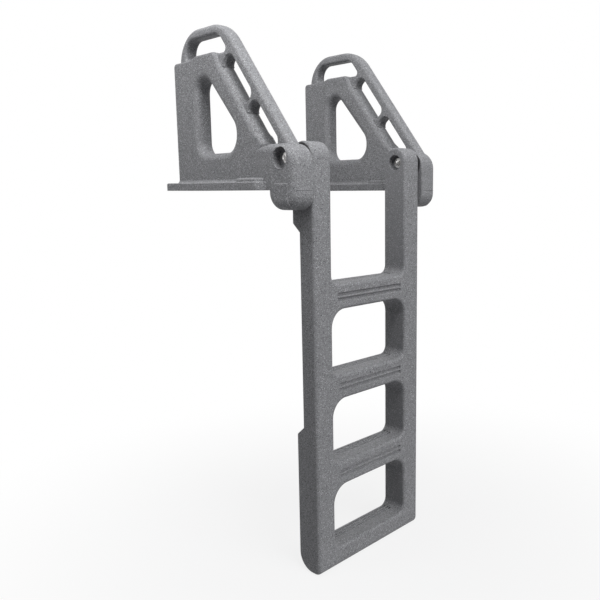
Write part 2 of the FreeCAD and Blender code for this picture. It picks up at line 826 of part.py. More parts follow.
def mirror_in_middle(body, features, name):
    """Repeat features on the other side of the body's middle plane."""
    mirror = body.newObject("PartDesign::Mirrored", name)
    mirror.Originals = features
    mirror.MirrorPlane = (origin_plane(body, "YZ_Plane"), [""])
    body.Tip = mirror
    body.Document.recompute()
    return mirror


def cut_reliefs(body):
    """Cut the long relief out of the outer back corner of each stile."""
    relief = attach_sketch(body, "relief_outline", "YZ_Plane", "- panel_width")
    floor = "(panel_back - relief_depth)"
    draw_outline(relief, [
        ("panel_back", "- relief_bottom", None),
        ("2 * panel_back", "- relief_bottom", None),
        ("2 * panel_back", "- relief_top", None),
        ("panel_back", "- relief_top", None),
        (floor, "- relief_top - relief_ramp", None),
        (floor, "- relief_bottom + relief_ramp", None),
    ])
    cut = pocket(body, relief, "relief_cut", "panel_width / 2 + relief_width")
    mirror_in_middle(body, [cut], "relief_mirror")


def cut_tread_grooves(body):
    """Cut the grooves across the front faces of the treads, narrower at their floors."""
    cuts = []
    half_length = "groove_length / 2"
    for number in range(GROOVES_PER_TREAD):
        top = "(- first_tread_drop - groove_drop - %d * groove_pitch)" % number
        name = "groove_%d" % number
        groove = attach_sketch(body, name + "_outline", "XZ_Plane", "panel_front")
        draw_outline(groove, [
            ("- " + half_length, top + " - groove_height", "groove_end_radius"),
            (half_length, top + " - groove_height", "groove_end_radius"),
            (half_length, top, "groove_end_radius"),
            ("- " + half_length, top, "groove_end_radius"),
        ])
        cut = pocket(body, groove, name + "_cut", "groove_depth", False)
        cut.setExpression("TaperAngle", expand("- groove_draft"))
        cuts.append(cut)
    repeat_down(body, cuts, "groove_pattern", (groove, ["V_Axis"]), GROOVED_TREADS)


def cut_rib_grooves(body):
    """Cut the grip grooves along the top of each tread, near its back."""
    cuts = []
    half_length = "rib_groove_length / 2"
    for number in range(RIB_GROOVES):
        back = "(panel_back - rib_groove_inset - %d * rib_groove_pitch)" % number
        name = "rib_groove_%d" % number
        groove = attach_sketch(body, name + "_outline", "XY_Plane", "- first_tread_drop - rib_groove_depth")
        draw_outline(groove, [
            ("- " + half_length, back + " - rib_groove_width", None),
            (half_length, back + " - rib_groove_width", None),
            (half_length, back, None),
            ("- " + half_length, back, None),
        ])
        cuts.append(pocket(body, groove, name + "_cut", "2 * rib_groove_depth"))
    repeat_down(body, cuts, "rib_pattern", (groove, ["N_Axis"]), HOLES_BELOW_TREADS + 1)


def cut_pivot_holes(body):
    """Bore the stiles for the pivot bolts and recess their inner faces for the nuts."""
    bore = attach_sketch(body, "bore_outline", "YZ_Plane", "- panel_width")
    draw_circle(bore, "0", "0", "bolt_diameter + 2 * running_clearance")
    pocket(body, bore, "bore_cut", "2 * panel_width")
    recess = attach_sketch(body, "recess_outline", "YZ_Plane", "0")
    draw_circle(recess, "0", "0", "stile_recess_diameter")
    depth = "panel_width / 2 - stile_width + stile_recess_depth"
    cut = pocket(body, recess, "recess_cut", depth, False)
    mirror_in_middle(body, [cut], "recess_mirror")
    vent = attach_sketch(body, "vent_outline", "YZ_Plane", "0")
    draw_circle(vent, "0", "vent_rise", "vent_diameter")
    depth = "panel_width / 2 - stile_width + vent_depth"
    cut = pocket(body, vent, "vent_cut", depth, False)
    mirror_in_middle(body, [cut], "vent_mirror")


def place_on_pivot(piece, start):
    """Lay a piece's axis along the pivot axis, from a start given as an expression."""
    piece.Placement = Placement(Vector(), Rotation(Vector(0, 1, 0), 90))
    piece.setExpression("Placement.Base.x", expand(start))
    piece.setExpression("Placement.Base.y", expand(from_dock("- pivot_from_dock")))
    piece.setExpression("Placement.Base.z", expand("pivot_height"))


def hexagon_on_pivot(doc, name, start, length):
    """A hexagonal prism along the pivot axis."""
    prism = doc.addObject("Part::Prism", name)
    prism.Polygon = 6
    prism.setExpression("Circumradius", expand("bolt_head_flats / (2 * cos(30))"))
    prism.setExpression("Height", expand(length))
    place_on_pivot(prism, start)
    return prism


def ring_on_pivot(doc, label, outside, start, length):
    """A solid bored for the bolt: the outside is a cylinder or a prism already made."""
    bore = cylinder_along_x(doc, label + "_bore", start + " - 1", length + " + 2",
                            "bolt_diameter + 2 * running_clearance")
    ring = doc.addObject("Part::Cut", label)
    ring.Base = outside
    ring.Tool = bore
    ring.Label = label
    return ring


def make_washer(doc, label, start, length):
    """A washer on the left pivot bolt."""
    disc = cylinder_along_x(doc, label + "_disc", start, length, "washer_diameter")
    return ring_on_pivot(doc, label, disc, start, length)


def make_left_hardware(doc):
    """The left pivot bolt with its washers and nut, in the order in which they are put on."""
    boss_floor = "(- boss_outboard + boss_recess_depth)"
    stile_face = "(%s - panel_width / 2)" % HALF_SPACING
    stile_floor = "(%s + stile_width - stile_recess_depth)" % stile_face
    under_head = "(%s - washer_thickness)" % boss_floor
    spacer_length = "(%s - boss_inboard - seat_clearance)" % stile_face
    nut_washer_start = "(%s + seat_clearance)" % stile_floor
    nut_start = "(%s + washer_thickness)" % nut_washer_start
    head = hexagon_on_pivot(doc, "bolt_head", under_head + " - bolt_head_height", "bolt_head_height")
    shank_length = "%s + nut_height + bolt_tail - %s" % (nut_start, under_head)
    shank = cylinder_along_x(doc, "bolt_shank", under_head, shank_length, "bolt_diameter")
    bolt = doc.addObject("Part::MultiFuse", "left_pivot_bolt")
    bolt.Shapes = [head, shank]
    bolt.Label = "left_pivot_bolt"
    nut_blank = hexagon_on_pivot(doc, "nut_blank", nut_start, "nut_height")
    return [
        bolt,
        make_washer(doc, "left_head_washer", under_head, "washer_thickness"),
        make_washer(doc, "left_spacer_washer", "boss_inboard", spacer_length),
        make_washer(doc, "left_nut_washer", nut_washer_start, "washer_thickness"),
        ring_on_pivot(doc, "left_lock_nut", nut_blank, nut_start, "nut_height"),
    ]


def check_document(doc, pieces):
    """Stop if any object failed or any piece has no sound shape."""
    for item in doc.Objects:
        if "Invalid" in item.State or "Error" in item.State:
            raise ValueError(item.Name + " failed")
    for piece in pieces:
        if piece.Shape.isNull() or not piece.Shape.isValid():
            raise ValueError(piece.Label + " has no valid shape")


def main():
    doc = FreeCAD.newDocument("dock_ladder")
    fill_sheet(doc)
    left_pieces = [make_left_bracket(doc)] + make_left_hardware(doc)
    doc.recompute()
    right_pieces = [mirror_to_right(doc, piece) for piece in left_pieces]
    pieces = [make_ladder_panel(doc)] + left_pieces + right_pieces
    doc.recompute()
    check_document(doc, pieces)
    os.makedirs(OUT_DIR, exist_ok=True)
    for piece in pieces:
        piece.Shape.exportStep("%s/%s.step" % (OUT_DIR, piece.Label))
        print(piece.Label, len(piece.Shape.Solids), round(piece.Shape.Volume), piece.Shape.BoundBox)


main()
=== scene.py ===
"""The looks of a flip-up dock ladder.

Two moulded brackets carry a moulded ladder panel on a pair of steel pivot bolts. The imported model
brings the mouldings; this file gives them their speckled plastic, finishes the brackets' carving,
makes the steel fasteners of the pivot, and lights it all on a plain pale floor. Everything is in
metres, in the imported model's own frame: x runs from the left bracket to the right one, y from the
water over the deck, and z is up from the deck.
"""

from __future__ import annotations

import json
import logging
import math
from collections.abc import Mapping, Sequence
from dataclasses import dataclass
from enum import Enum
from typing import ClassVar

import bmesh
import bpy
import numpy as np
from mathutils import Matrix, Vector

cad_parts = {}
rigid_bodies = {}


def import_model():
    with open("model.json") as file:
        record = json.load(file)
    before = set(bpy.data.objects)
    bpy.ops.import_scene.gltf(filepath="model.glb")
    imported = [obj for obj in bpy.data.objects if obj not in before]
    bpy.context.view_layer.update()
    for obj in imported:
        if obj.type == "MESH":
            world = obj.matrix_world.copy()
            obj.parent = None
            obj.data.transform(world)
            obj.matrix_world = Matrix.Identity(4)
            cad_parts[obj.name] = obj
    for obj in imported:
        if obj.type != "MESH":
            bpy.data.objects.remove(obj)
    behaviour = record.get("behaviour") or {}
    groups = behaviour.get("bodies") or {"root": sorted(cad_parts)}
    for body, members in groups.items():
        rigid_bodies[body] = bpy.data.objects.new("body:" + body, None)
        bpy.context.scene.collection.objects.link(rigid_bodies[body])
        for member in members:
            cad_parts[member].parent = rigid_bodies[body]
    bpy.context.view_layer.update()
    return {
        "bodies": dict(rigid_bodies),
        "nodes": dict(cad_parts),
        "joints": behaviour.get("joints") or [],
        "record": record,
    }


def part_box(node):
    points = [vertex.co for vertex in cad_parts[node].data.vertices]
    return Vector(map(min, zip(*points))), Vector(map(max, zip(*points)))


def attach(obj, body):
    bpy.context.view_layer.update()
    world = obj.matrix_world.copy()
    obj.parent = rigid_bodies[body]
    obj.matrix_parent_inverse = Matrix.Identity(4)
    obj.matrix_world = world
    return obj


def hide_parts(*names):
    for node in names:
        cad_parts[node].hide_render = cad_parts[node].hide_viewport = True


LOG = logging.getLogger("dock_ladder")

MM = 0.001
FULL_TURN = 2 * math.pi
LADDER_MIDDLE = 0.305
PIVOT = (-0.328, 0.097)
LOWEST = -1.289
BOSS_FRONT = -0.389
BOSS_EDGE = 25 * MM
RECESS_MIDDLE = (PIVOT[0] + 2 * MM, PIVOT[1] - 1.5 * MM)
RECESS_RADIUS = 33.2 * MM
SHARP_DEGREES = 32.0
CARVED_SHARP_DEGREES = 30.0
BRACKETS = "brackets"
WHITE = (1.0, 1.0, 1.0, 1.0)

Colour = tuple[float, float, float]
Corner = tuple[float, float, float]
Pair = tuple[float, float]
Place = float | np.ndarray
Frame = Mapping[str, Mapping[str, bpy.types.Object]]


class Side(Enum):
    """The two ends of the pivot axis, by the names of their brackets."""

    LEFT = "left"
    RIGHT = "right"

    def mirrored(self, x: Place) -> Place:
        """An x of the left-hand piece, or its mirror image in the ladder's middle."""
        return x if self is Side.LEFT else 2 * LADDER_MIDDLE - x


class Slot(Enum):
    """The record's materials."""

    MOULDING = "moulding"
    FASTENER = "fastener"


# Shader graphs


class Signal:
    """A number that changes over a surface: one output socket, with arithmetic."""

    def __init__(self, graph: ShaderGraph, socket: bpy.types.NodeSocket) -> None:
        """Keep the socket and the graph that it is in."""
        self.graph = graph
        self.socket = socket

    def _math(self, operation: str, *others: Signal | float, swapped: bool = False) -> Signal:
        """Add one Math node.

        Args:
            operation: the node's operation.
            others: the other operands, in order.
            swapped: whether this signal is the second operand.

        Returns:
            The node's result.
        """
        operands = [*others, self] if swapped else [self, *others]
        settings = {"operation": operation}
        return Signal(self.graph, self.graph.output("Math", settings, dict(enumerate(operands))))

    def __add__(self, other: Signal | float) -> Signal:
        """The sum."""
        return self._math("ADD", other)

    __radd__ = __add__

    def __sub__(self, other: Signal | float) -> Signal:
        """The difference."""
        return self._math("SUBTRACT", other)

    def __rsub__(self, other: Signal | float) -> Signal:
        """The difference, from a number."""
        return self._math("SUBTRACT", other, swapped=True)

    def __mul__(self, other: Signal | float) -> Signal:
        """The product."""
        return self._math("MULTIPLY", other)

    __rmul__ = __mul__

    def __abs__(self) -> Signal:
        """The size, without its sign."""
        return self._math("ABSOLUTE")

    def hypotenuse(self, other: Signal) -> Signal:
        """The square root of the sum of both squares."""
        return (self * self + other * other)._math("SQRT")

    def wave(self) -> Signal:
        """The sine, in radians."""
        return self._math("SINE")

    def below(self, limit: Signal | float) -> Signal:
        """One where this is less than the limit, otherwise nought."""
        return self._math("LESS_THAN", limit)

    def above(self, limit: Signal | float) -> Signal:
        """One where this is more than the limit, otherwise nought."""
        return self._math("GREATER_THAN", limit)

    def ramp(self, start: float, end: float) -> Signal:
        """Nought before start, one after end, and an even S curve between them.

        Args:
            start: where it leaves nought.
            end: where it reaches one; below start, the ramp falls.

        Returns:
            The ramp's height.
        """
        settings = {"interpolation_type": "SMOOTHSTEP", "clamp": True}
        sockets = {"Value": self, "From Min": start, "From Max": end, "To Min": 0.0, "To Max": 1.0}
        return Signal(self.graph, self.graph.output("MapRange", settings, sockets))


Input = Signal | bpy.types.NodeSocket | float | bool | Sequence[float]


class ShaderGraph:
    """The nodes of one material or of the world, each made by the one method node."""

    noise_roughness: ClassVar[float] = 0.55

    def __init__(self, tree: bpy.types.NodeTree) -> None:
        """Start with an empty tree."""
        self.tree = tree
        tree.nodes.clear()

    def node(
        self, kind: str, settings: Mapping[str, object], sockets: Mapping[int | str, Input]
    ) -> bpy.types.Node:
        """Add a node.

        Args:
            kind: the node's type, without the prefix that all of them have.
            settings: its own properties, which are set before its sockets.
            sockets: a value or a link for each input socket, by name or by number.

        Returns:
            The new node.
        """
        made = self.tree.nodes.new(f"ShaderNode{kind}")
        for name, setting in settings.items():
            setattr(made, name, setting)
        for key, value in sockets.items():
            if isinstance(value, Signal):
                value = value.socket
            if isinstance(value, bpy.types.NodeSocket):
                self.tree.links.new(value, made.inputs[key])
            else:
                made.inputs[key].default_value = value
        return made

    def output(
        self, kind: str, settings: Mapping[str, object], sockets: Mapping[int | str, Input]
    ) -> bpy.types.NodeSocket:
        """Add a node, as the method node does, and return its first output socket."""
        return self.node(kind, settings, sockets).outputs[0]

    def place(self) -> bpy.types.NodeSocket:
        """The shaded point, in metres, in the frame of the piece at rest."""
        return self.node("TexCoord", {}, {}).outputs["Object"]

    def axes(self, point: bpy.types.NodeSocket) -> list[Signal]:
        """The three coordinates of a point."""
        return [Signal(self, socket) for socket in self.node("SeparateXYZ", {}, {0: point}).outputs]

    def from_pivot(self, point: bpy.types.NodeSocket) -> Signal:
        """How far a point is from the pivot axis."""
        _, along_y, along_z = self.axes(point)
        return (along_y - PIVOT[0]).hypotenuse(along_z - PIVOT[1])

    def noise(self, point: bpy.types.NodeSocket, size: float, detail: float = 2.0) -> Signal:
        """Soft noise from nought to one.

        Args:
            point: where it is read.
            size: the size of its patches, in metres.
            detail: how many finer layers it has.

        Returns:
            The noise.
        """
        sockets = {"Vector": point, "Scale": 1 / size, "Detail": detail}
        sockets["Roughness"] = self.noise_roughness
        return Signal(self, self.output("TexNoise", {"noise_dimensions": "3D"}, sockets))

    def grains(self, point: bpy.types.NodeSocket, size: float) -> tuple[Signal, Signal, Signal]:
        """Irregular cells, as of a crushed powder.

        Args:
            point: where they are read.
            size: the cells' mean size, in metres.

        Returns:
            Two independent numbers from nought to one that each cell draws, and the distance from
            the cell's middle, in cells.
        """
        sockets = {"Vector": point, "Scale": 1 / size, "Randomness": 1.0}
        cells = self.node("TexVoronoi", {"feature": "F1"}, sockets).outputs
        drawn = self.node("SeparateColor", {}, {0: cells["Color"]}).outputs
        return Signal(self, drawn[0]), Signal(self, drawn[1]), Signal(self, cells["Distance"])

    def blend(
        self, under: bpy.types.NodeSocket, over: Colour, share: Signal
    ) -> bpy.types.NodeSocket:
        """One colour laid over another.

        Args:
            under: the colour where the share is nought.
            over: the colour where the share is one.
            share: how much of the second colour there is.

        Returns:
            The blended colour.
        """
        sockets = {0: share, 6: under, 7: (*over, 1.0)}
        return self.node("Mix", {"data_type": "RGBA"}, sockets).outputs[2]

    def shade(self, colour: Colour, strength: Signal) -> bpy.types.NodeSocket:
        """A colour made darker or lighter by a factor.

        Args:
            colour: the colour.
            strength: the factor, one for no change.

        Returns:
            The changed colour.
        """
        return self.output("VectorMath", {"operation": "SCALE"}, {0: colour, "Scale": strength})

    def relief(self, height: Signal, **normal: bpy.types.NodeSocket) -> bpy.types.NodeSocket:
        """The normals of a raised surface.

        Args:
            height: how far it is raised, in millimetres.
            normal: as Normal, what the normals start from, if not from the surface's own.

        Returns:
            The normals.
        """
        return self.output("Bump", {}, {"Strength": 1.0, "Distance": MM, "Height": height, **normal})

    def finish(self, shader: bpy.types.NodeSocket) -> None:
        """Make a shader the material's surface."""
        self.node("OutputMaterial", {}, {"Surface": shader})


def new_material(name: str) -> tuple[bpy.types.Material, ShaderGraph]:
    """A material with an empty graph."""
    material = bpy.data.materials.new(name)
    material.use_nodes = True
    return material, ShaderGraph(material.node_tree)


# Finishes


@dataclass(frozen=True)
class SpeckledPlastic:
    """Matt rotationally moulded polyethylene: a mid grey powder with dark and pale grains in it.

    Attributes:
        grey: the colour of the melt.
        dark: the colour of the dark grains.
        pale: the colour of the pale grains.
        painted_gap_shade: the colour of the shade painted into the two gaps between boss and stile.
        coarse: the size of the coarse grains, and the share of them that is dark.
        fine: the size of the fine grains, and the share of them that is dark.
        edge: where a grain's edge begins and ends, in cells from its middle.
        tone: the melt's least tone, and what its broad and its narrow drift add.
        matt: the least roughness, and what its drift adds.
        gap: x of the middle of the left-hand gap between boss and stile.
        gap_edge: how far from that middle the painted shade begins and is full.
        gap_reach: how far from the pivot axis it begins and is full.
    """

    grey: Colour = (0.192, 0.194, 0.203)
    dark: Colour = (0.045, 0.046, 0.050)
    pale: Colour = (0.420, 0.425, 0.435)
    painted_gap_shade: Colour = (0.020, 0.020, 0.021)
    coarse: Pair = (2.5 * MM, 0.19)
    fine: Pair = (1.1 * MM, 0.26)
    edge: Pair = (0.62, 0.42)
    tone: tuple[float, float, float] = (0.90, 0.12, 0.08)
    matt: Pair = (0.50, 0.16)
    gap: float = 43.25 * MM
    gap_edge: Pair = (4.2 * MM, 2.6 * MM)
    gap_reach: Pair = (56 * MM, 47 * MM)

    def grain(
        self, graph: ShaderGraph, point: bpy.types.NodeSocket, size: float, share: float
    ) -> tuple[Signal, Signal]:
        """The masks of one size of grain, which shows where its cell draws a high or a low number.

        Args:
            graph: the material's nodes.
            point: the shaded point.
            size: the cells' size.
            share: the share of the cells that are dark; nearly as many are pale.

        Returns:
            The dark grains' mask and the pale grains' mask.
        """
        first, second, distance = graph.grains(point, size)
        rounded = distance.ramp(*self.edge)
        dark = first.below(share) * rounded
        pale = first.above(1.0 - 0.8 * share) * rounded
        return dark * (0.55 + 0.45 * second), pale * (0.45 + 0.55 * second)

    def painted_gap_shade_mask(self, graph: ShaderGraph, point: bpy.types.NodeSocket) -> Signal:
        """The mask of the painted shade in the two narrow gaps between boss and stile, round the pivot.
        """
        from_middle = abs(graph.axes(point)[0] - LADDER_MIDDLE)
        in_gap = abs(from_middle - (LADDER_MIDDLE - self.gap)).ramp(*self.gap_edge)
        return in_gap * graph.from_pivot(point).ramp(*self.gap_reach)

    def make(self) -> bpy.types.Material:
        """The material: grains over a melt whose tone drifts, with a faint orange peel and painted
        shade in the gaps by the bosses.
        """
        material, graph = new_material("speckled_plastic")
        point = graph.place()
        least, broad, narrow = self.tone
        drift = broad * graph.noise(point, 0.22, 3.0) + narrow * graph.noise(point, 9 * MM)
        coarse_dark, coarse_pale = self.grain(graph, point, *self.coarse)
        fine_dark, fine_pale = self.grain(graph, point, *self.fine)
        colour = graph.shade(self.grey, least + drift)
        layers = [
            (self.dark, 0.55 * fine_dark),
            (self.pale, 0.50 * fine_pale),
            (self.dark, coarse_dark),
            (self.pale, coarse_pale),
            # painted shade: darkens the gaps between boss and stile, round the pivot, where the boss
            # shades them
            (self.painted_gap_shade, 0.85 * self.painted_gap_shade_mask(graph, point)),
        ]
        for over, share in layers:
            colour = graph.blend(colour, over, share)
        peel = graph.noise(point, 1.6 * MM)
        ripple = graph.noise(point, 55 * MM, 1.0)
        height = 0.045 * peel + 0.9 * ripple - 0.015 * coarse_dark
        soft_edges = graph.output("Bevel", {"samples": 4}, {"Radius": 2.2 * MM})
        surface = {
            "Base Color": colour,
            "Roughness": self.matt[0] + self.matt[1] * graph.noise(point, 12 * MM, 3.0),
            "Specular IOR Level": 0.20,
            "Normal": graph.relief(height, Normal=soft_edges),
        }
        graph.finish(graph.output("BsdfPrincipled", {}, surface))
        return material


@dataclass(frozen=True)
class TurnedSteel:
    """Plain stainless steel, turned and tumbled, with faint rings round the pivot axis.

    Attributes:
        name: the material's name.
        colour: the metal's reflectance.
        ring_pitch: the distance between the tool's marks.
        smoothest: its least roughness.
    """

    name: str = "turned_steel"
    colour: Colour = (0.360, 0.355, 0.350)
    ring_pitch: float = 0.55 * MM
    smoothest: float = 0.12

    def make(self) -> bpy.types.Material:
        """The material: the rings are a sine of the distance from the pivot axis."""
        material, graph = new_material(self.name)
        point = graph.place()
        rings = (graph.from_pivot(point) * (FULL_TURN / self.ring_pitch)).wave()
        tarnish = graph.noise(point, 3.5 * MM, 4.0)
        surface = {
            "Base Color": graph.shade(self.colour, 0.82 + 0.26 * tarnish),
            "Metallic": 1.0,
            "Roughness": self.smoothest + 0.20 * tarnish,
            "Normal": graph.relief(0.004 * rings + 0.020 * graph.noise(point, 0.5 * MM)),
        }
        graph.finish(graph.output("BsdfPrincipled", {}, surface))
        return material


@dataclass(frozen=True)
class LockingNylon:
    """The milky nylon of a lock nut's collar."""

    colour: Colour = (0.66, 0.67, 0.66)

    def make(self) -> bpy.types.Material:
        """The material: a faintly clouded colour."""
        material, graph = new_material("locking_nylon")
        cloud = graph.noise(graph.place(), 1.2 * MM)
        surface = {
            "Base Color": graph.shade(self.colour, 0.88 + 0.2 * cloud),
            "Roughness": 0.38 + 0.12 * cloud,
            "IOR": 1.53,
        }
        graph.finish(graph.output("BsdfPrincipled", {}, surface))
        return material


# Surfaces


def join_doubles(points: np.ndarray, quads: np.ndarray) -> tuple[np.ndarray, list[list[int]]]:
    """Close a grid's seams and poles.

    Args:
        points: the grid's points, n by 3.
        quads: four point numbers for each face.

    Returns:
        The points without doubles, and the faces. A quad with two corners at a pole becomes a
        triangle.
    """
    rounded = np.round(points, 7)
    _, first, inverse = np.unique(rounded, axis=0, return_index=True, return_inverse=True)
    quads = inverse.reshape(-1)[quads]
    top_pole = quads[:, 0] == quads[:, 1]
    low_pole = quads[:, 2] == quads[:, 3]
    faces = quads[~top_pole & ~low_pole].tolist()
    faces += quads[top_pole & ~low_pole][:, [0, 2, 3]].tolist()
    faces += quads[low_pole & ~top_pole][:, [0, 1, 2]].tolist()
    return points[first], faces


def new_object(name: str, mesh: bpy.types.Mesh) -> bpy.types.Object:
    """Put a mesh in the scene, at the origin, unturned."""
    made = bpy.data.objects.new(name, mesh)
    bpy.context.scene.collection.objects.link(made)
    return made


def grid_object(name: str, grids: Sequence[np.ndarray], outwards: bool) -> bpy.types.Object:
    """Make one object of some grids of points.

    Args:
        name: the object's name.
        grids: arrays of rows by columns by 3; each grid's first and last columns coincide.
        outwards: whether the faces already point outwards as the rows and columns run.

    Returns:
        The object, at the origin, unturned.
    """
    quads: list[np.ndarray] = []
    start = 0
    for grid in grids:
        rows, columns = grid.shape[:2]
        numbers = start + np.arange(rows * columns).reshape(rows, columns)
        corners = [numbers[:-1, :-1], numbers[:-1, 1:], numbers[1:, 1:], numbers[1:, :-1]]
        quads.append(np.stack([corner.ravel() for corner in corners], axis=1))
        start += rows * columns
    points = np.concatenate([grid.reshape(-1, 3) for grid in grids])
    merged, faces = join_doubles(points, np.concatenate(quads))
    if not outwards:
        faces = [face[::-1] for face in faces]
    mesh = bpy.data.meshes.new(name)
    mesh.from_pydata(merged.tolist(), [], faces)
    mesh.shade_smooth()
    mesh.set_sharp_from_angle(angle=math.radians(SHARP_DEGREES))
    return new_object(name, mesh)


def values_of(
    items: bpy.types.bpy_prop_collection, name: str, kind: type, width: int = 1
) -> np.ndarray:
    """Read one property of a mesh's vertices, corners or faces.

    Args:
        items: the vertices, corners or faces.
        name: the property.
        kind: the type of its numbers.
        width: how many numbers each item has.

    Returns:
        One number for each item, or one row for each if the width is more than one.
    """
    values = np.empty(width * len(items), dtype=kind)
    items.foreach_get(name, values)
    return values.reshape(-1, width) if width > 1 else values


def normals_of(mesh: bpy.types.Mesh) -> np.ndarray:
    """The normals at a mesh's corners, n by 3."""
    return values_of(mesh.corner_normals, "vector", np.float32, 3).astype(float)


@dataclass
class PackedSurface:
    """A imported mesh's triangles with the normals at their corners.

    Attributes:
        corners: the triangles' corners, n by 3 by 3.
        normals: the normals there, n by 3 by 3.
    """

    corners: np.ndarray
    normals: np.ndarray
    attribute: ClassVar[str] = "packed_face"

    @classmethod
    def read(cls, source: bpy.types.Mesh) -> PackedSurface:
        """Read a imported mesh, whose faces are loose triangles."""
        numbers = values_of(source.loops, "vertex_index", np.int32)
        points = values_of(source.vertices, "co", np.float32, 3).astype(float)
        return cls(points[numbers].reshape(-1, 3, 3), normals_of(source).reshape(-1, 3, 3))

    def merged(self, name: str) -> bpy.types.Mesh:
        """A closed mesh of the triangles, each with its number, from one up, as an attribute."""
        points = self.corners.reshape(-1, 3)
        rounded = np.round(points, 6)
        _, first, inverse = np.unique(rounded, axis=0, return_index=True, return_inverse=True)
        faces = inverse.reshape(-1, 3)
        whole = (faces != np.roll(faces, 1, axis=1)).all(axis=1)
        mesh = bpy.data.meshes.new(name)
        mesh.from_pydata(points[first].tolist(), [], faces[whole].tolist())
        mesh.shade_smooth()
        numbers = (np.flatnonzero(whole) + 1).astype(np.int32)
        mesh.attributes.new(self.attribute, "INT", "FACE").data.foreach_set("value", numbers)
        return mesh

    def shade(self, mesh: bpy.types.Mesh) -> None:
        """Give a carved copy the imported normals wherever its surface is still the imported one.

        A corner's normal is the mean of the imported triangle's three normals, each weighted by the
        corner's barycentric share in that triangle. What the carving made keeps its own normals.

        Args:
            mesh: the carved mesh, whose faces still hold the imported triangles' numbers.
        """
        numbers = values_of(mesh.attributes[self.attribute].data, "value", np.int32)
        sizes = values_of(mesh.polygons, "loop_total", np.int32)
        points = values_of(mesh.vertices, "co", np.float32, 3).astype(float)
        normals = normals_of(mesh)
        triangle = np.repeat(numbers, sizes) - 1
        packed = triangle >= 0
        triangle = triangle[packed]
        at = points[values_of(mesh.loops, "vertex_index", np.int32)[packed]]
        first, second, third = np.moveaxis(self.corners[triangle], 1, 0)
        square = np.cross(second - first, third - first)
        area = np.maximum((square * square).sum(axis=1), 1e-24)
        share_second = (np.cross(at - first, third - first) * square).sum(axis=1) / area
        share_third = (np.cross(second - first, at - first) * square).sum(axis=1) / area
        shares = np.stack([1 - share_second - share_third, share_second, share_third], axis=1)
        mixed = (self.normals[triangle] * shares.clip(0.0, 1.0)[:, :, None]).sum(axis=1)
        normals[packed] = mixed / np.maximum(np.linalg.norm(mixed, axis=1, keepdims=True), 1e-9)
        mesh.normals_split_custom_set(normals.tolist())


def point_outwards(mesh: bpy.types.Mesh) -> None:
    """Turn all the faces of a closed mesh outwards."""
    work = bmesh.new()
    work.from_mesh(mesh)
    bmesh.ops.recalc_face_normals(work, faces=work.faces)
    work.to_mesh(mesh)
    work.free()


def apply_modifiers(made: bpy.types.Object) -> bpy.types.Mesh:
    """Make an object's modifiers part of its mesh, and return the mesh."""
    for modifier in list(made.modifiers):
        with bpy.context.temp_override(object=made, active_object=made):
            bpy.ops.object.modifier_apply(modifier=modifier.name)
    return made.data


def arc(centre: Pair, radius: float, start: float, end: float, count: int = 5) -> np.ndarray:
    """Points along an arc of a profile.

    Args:
        centre: its middle, as the distance along the axis and the distance from the axis.
        radius: its radius.
        start: its first angle in degrees, from the axis' own direction towards the outside.
        end: its last angle.
        count: how many points it has.

    Returns:
        The points, count by 2: centre plus radius times the cosine and the sine of the angle.
    """
    angle = np.radians(np.linspace(start, end, count))
    return np.array(centre) + radius * np.stack([np.cos(angle), np.sin(angle)], axis=1)


def closed(*profile: Sequence[Pair] | np.ndarray) -> np.ndarray:
    """Join the pieces of a profile, n by 2, and end it where it starts."""
    joined = np.concatenate(profile)
    return np.concatenate([joined, joined[:1]])


@dataclass(frozen=True)
class PivotAxis:
    """Places a shape on an axis along x: along it from the outside inwards, round it and off it.

    Attributes:
        side: the end of the pivot that the shape is at.
        middle: y and z of the axis.
    """

    side: Side
    middle: Pair = PIVOT

    def place(self, along: Place, around: Place, radius: Place) -> np.ndarray:
        """Turn distances and angles into points.

        Args:
            along: x of the left-hand piece; the right-hand one mirrors it in the ladder's middle.
            around: the angle round the axis, in radians.
            radius: the distance from the axis.

        Returns:
            The points: y and z are the axis plus radius times the cosine and the sine of around.
        """
        y = self.middle[0] + radius * np.cos(around)
        z = self.middle[1] + radius * np.sin(around)
        return np.stack([self.side.mirrored(along), y, z], axis=-1)

    def rings(self, rows: Sequence[tuple[Place, Place]], around: np.ndarray) -> np.ndarray:
        """Place rings round the axis.

        Args:
            rows: for each ring, its place along the axis and its radius, each either one number or
                a number for each angle.
            around: the angles, of which the last closes the rings.

        Returns:
            The grid, with a row for each ring.
        """
        wide = [[np.broadcast_to(value, around.shape) for value in row] for row in rows]
        along, radius = np.moveaxis(np.array(wide), 1, 0)
        return self.place(along, np.broadcast_to(around, along.shape), radius)

    def revolve(self, profile: np.ndarray | Sequence[Pair], count: int = 73) -> np.ndarray:
        """Carry a profile, as distances along and from the axis, round it in count columns."""
        return self.rings(profile, np.linspace(0.0, FULL_TURN, count))


def left_hand_span(node: str, side: Side) -> Pair:
    """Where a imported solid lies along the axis.

    Args:
        node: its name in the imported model.
        side: the end of the pivot that it is at.

    Returns:
        Its outer and inner x, mirrored to the left-hand side.
    """
    outer, inner = sorted(side.mirrored(corner.x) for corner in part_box(node))
    return outer, inner


def fit(
    piece: bpy.types.Object, material: bpy.types.Material, node: str = ""
) -> bpy.types.Object:
    """Put a piece on the brackets.

    Args:
        piece: the piece.
        material: its finish.
        node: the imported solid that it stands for, if any.

    Returns:
        The piece.
    """
    piece.data.materials.append(material)
    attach(piece, BRACKETS)
    if node:
        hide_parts(node)
    return piece


# Fasteners


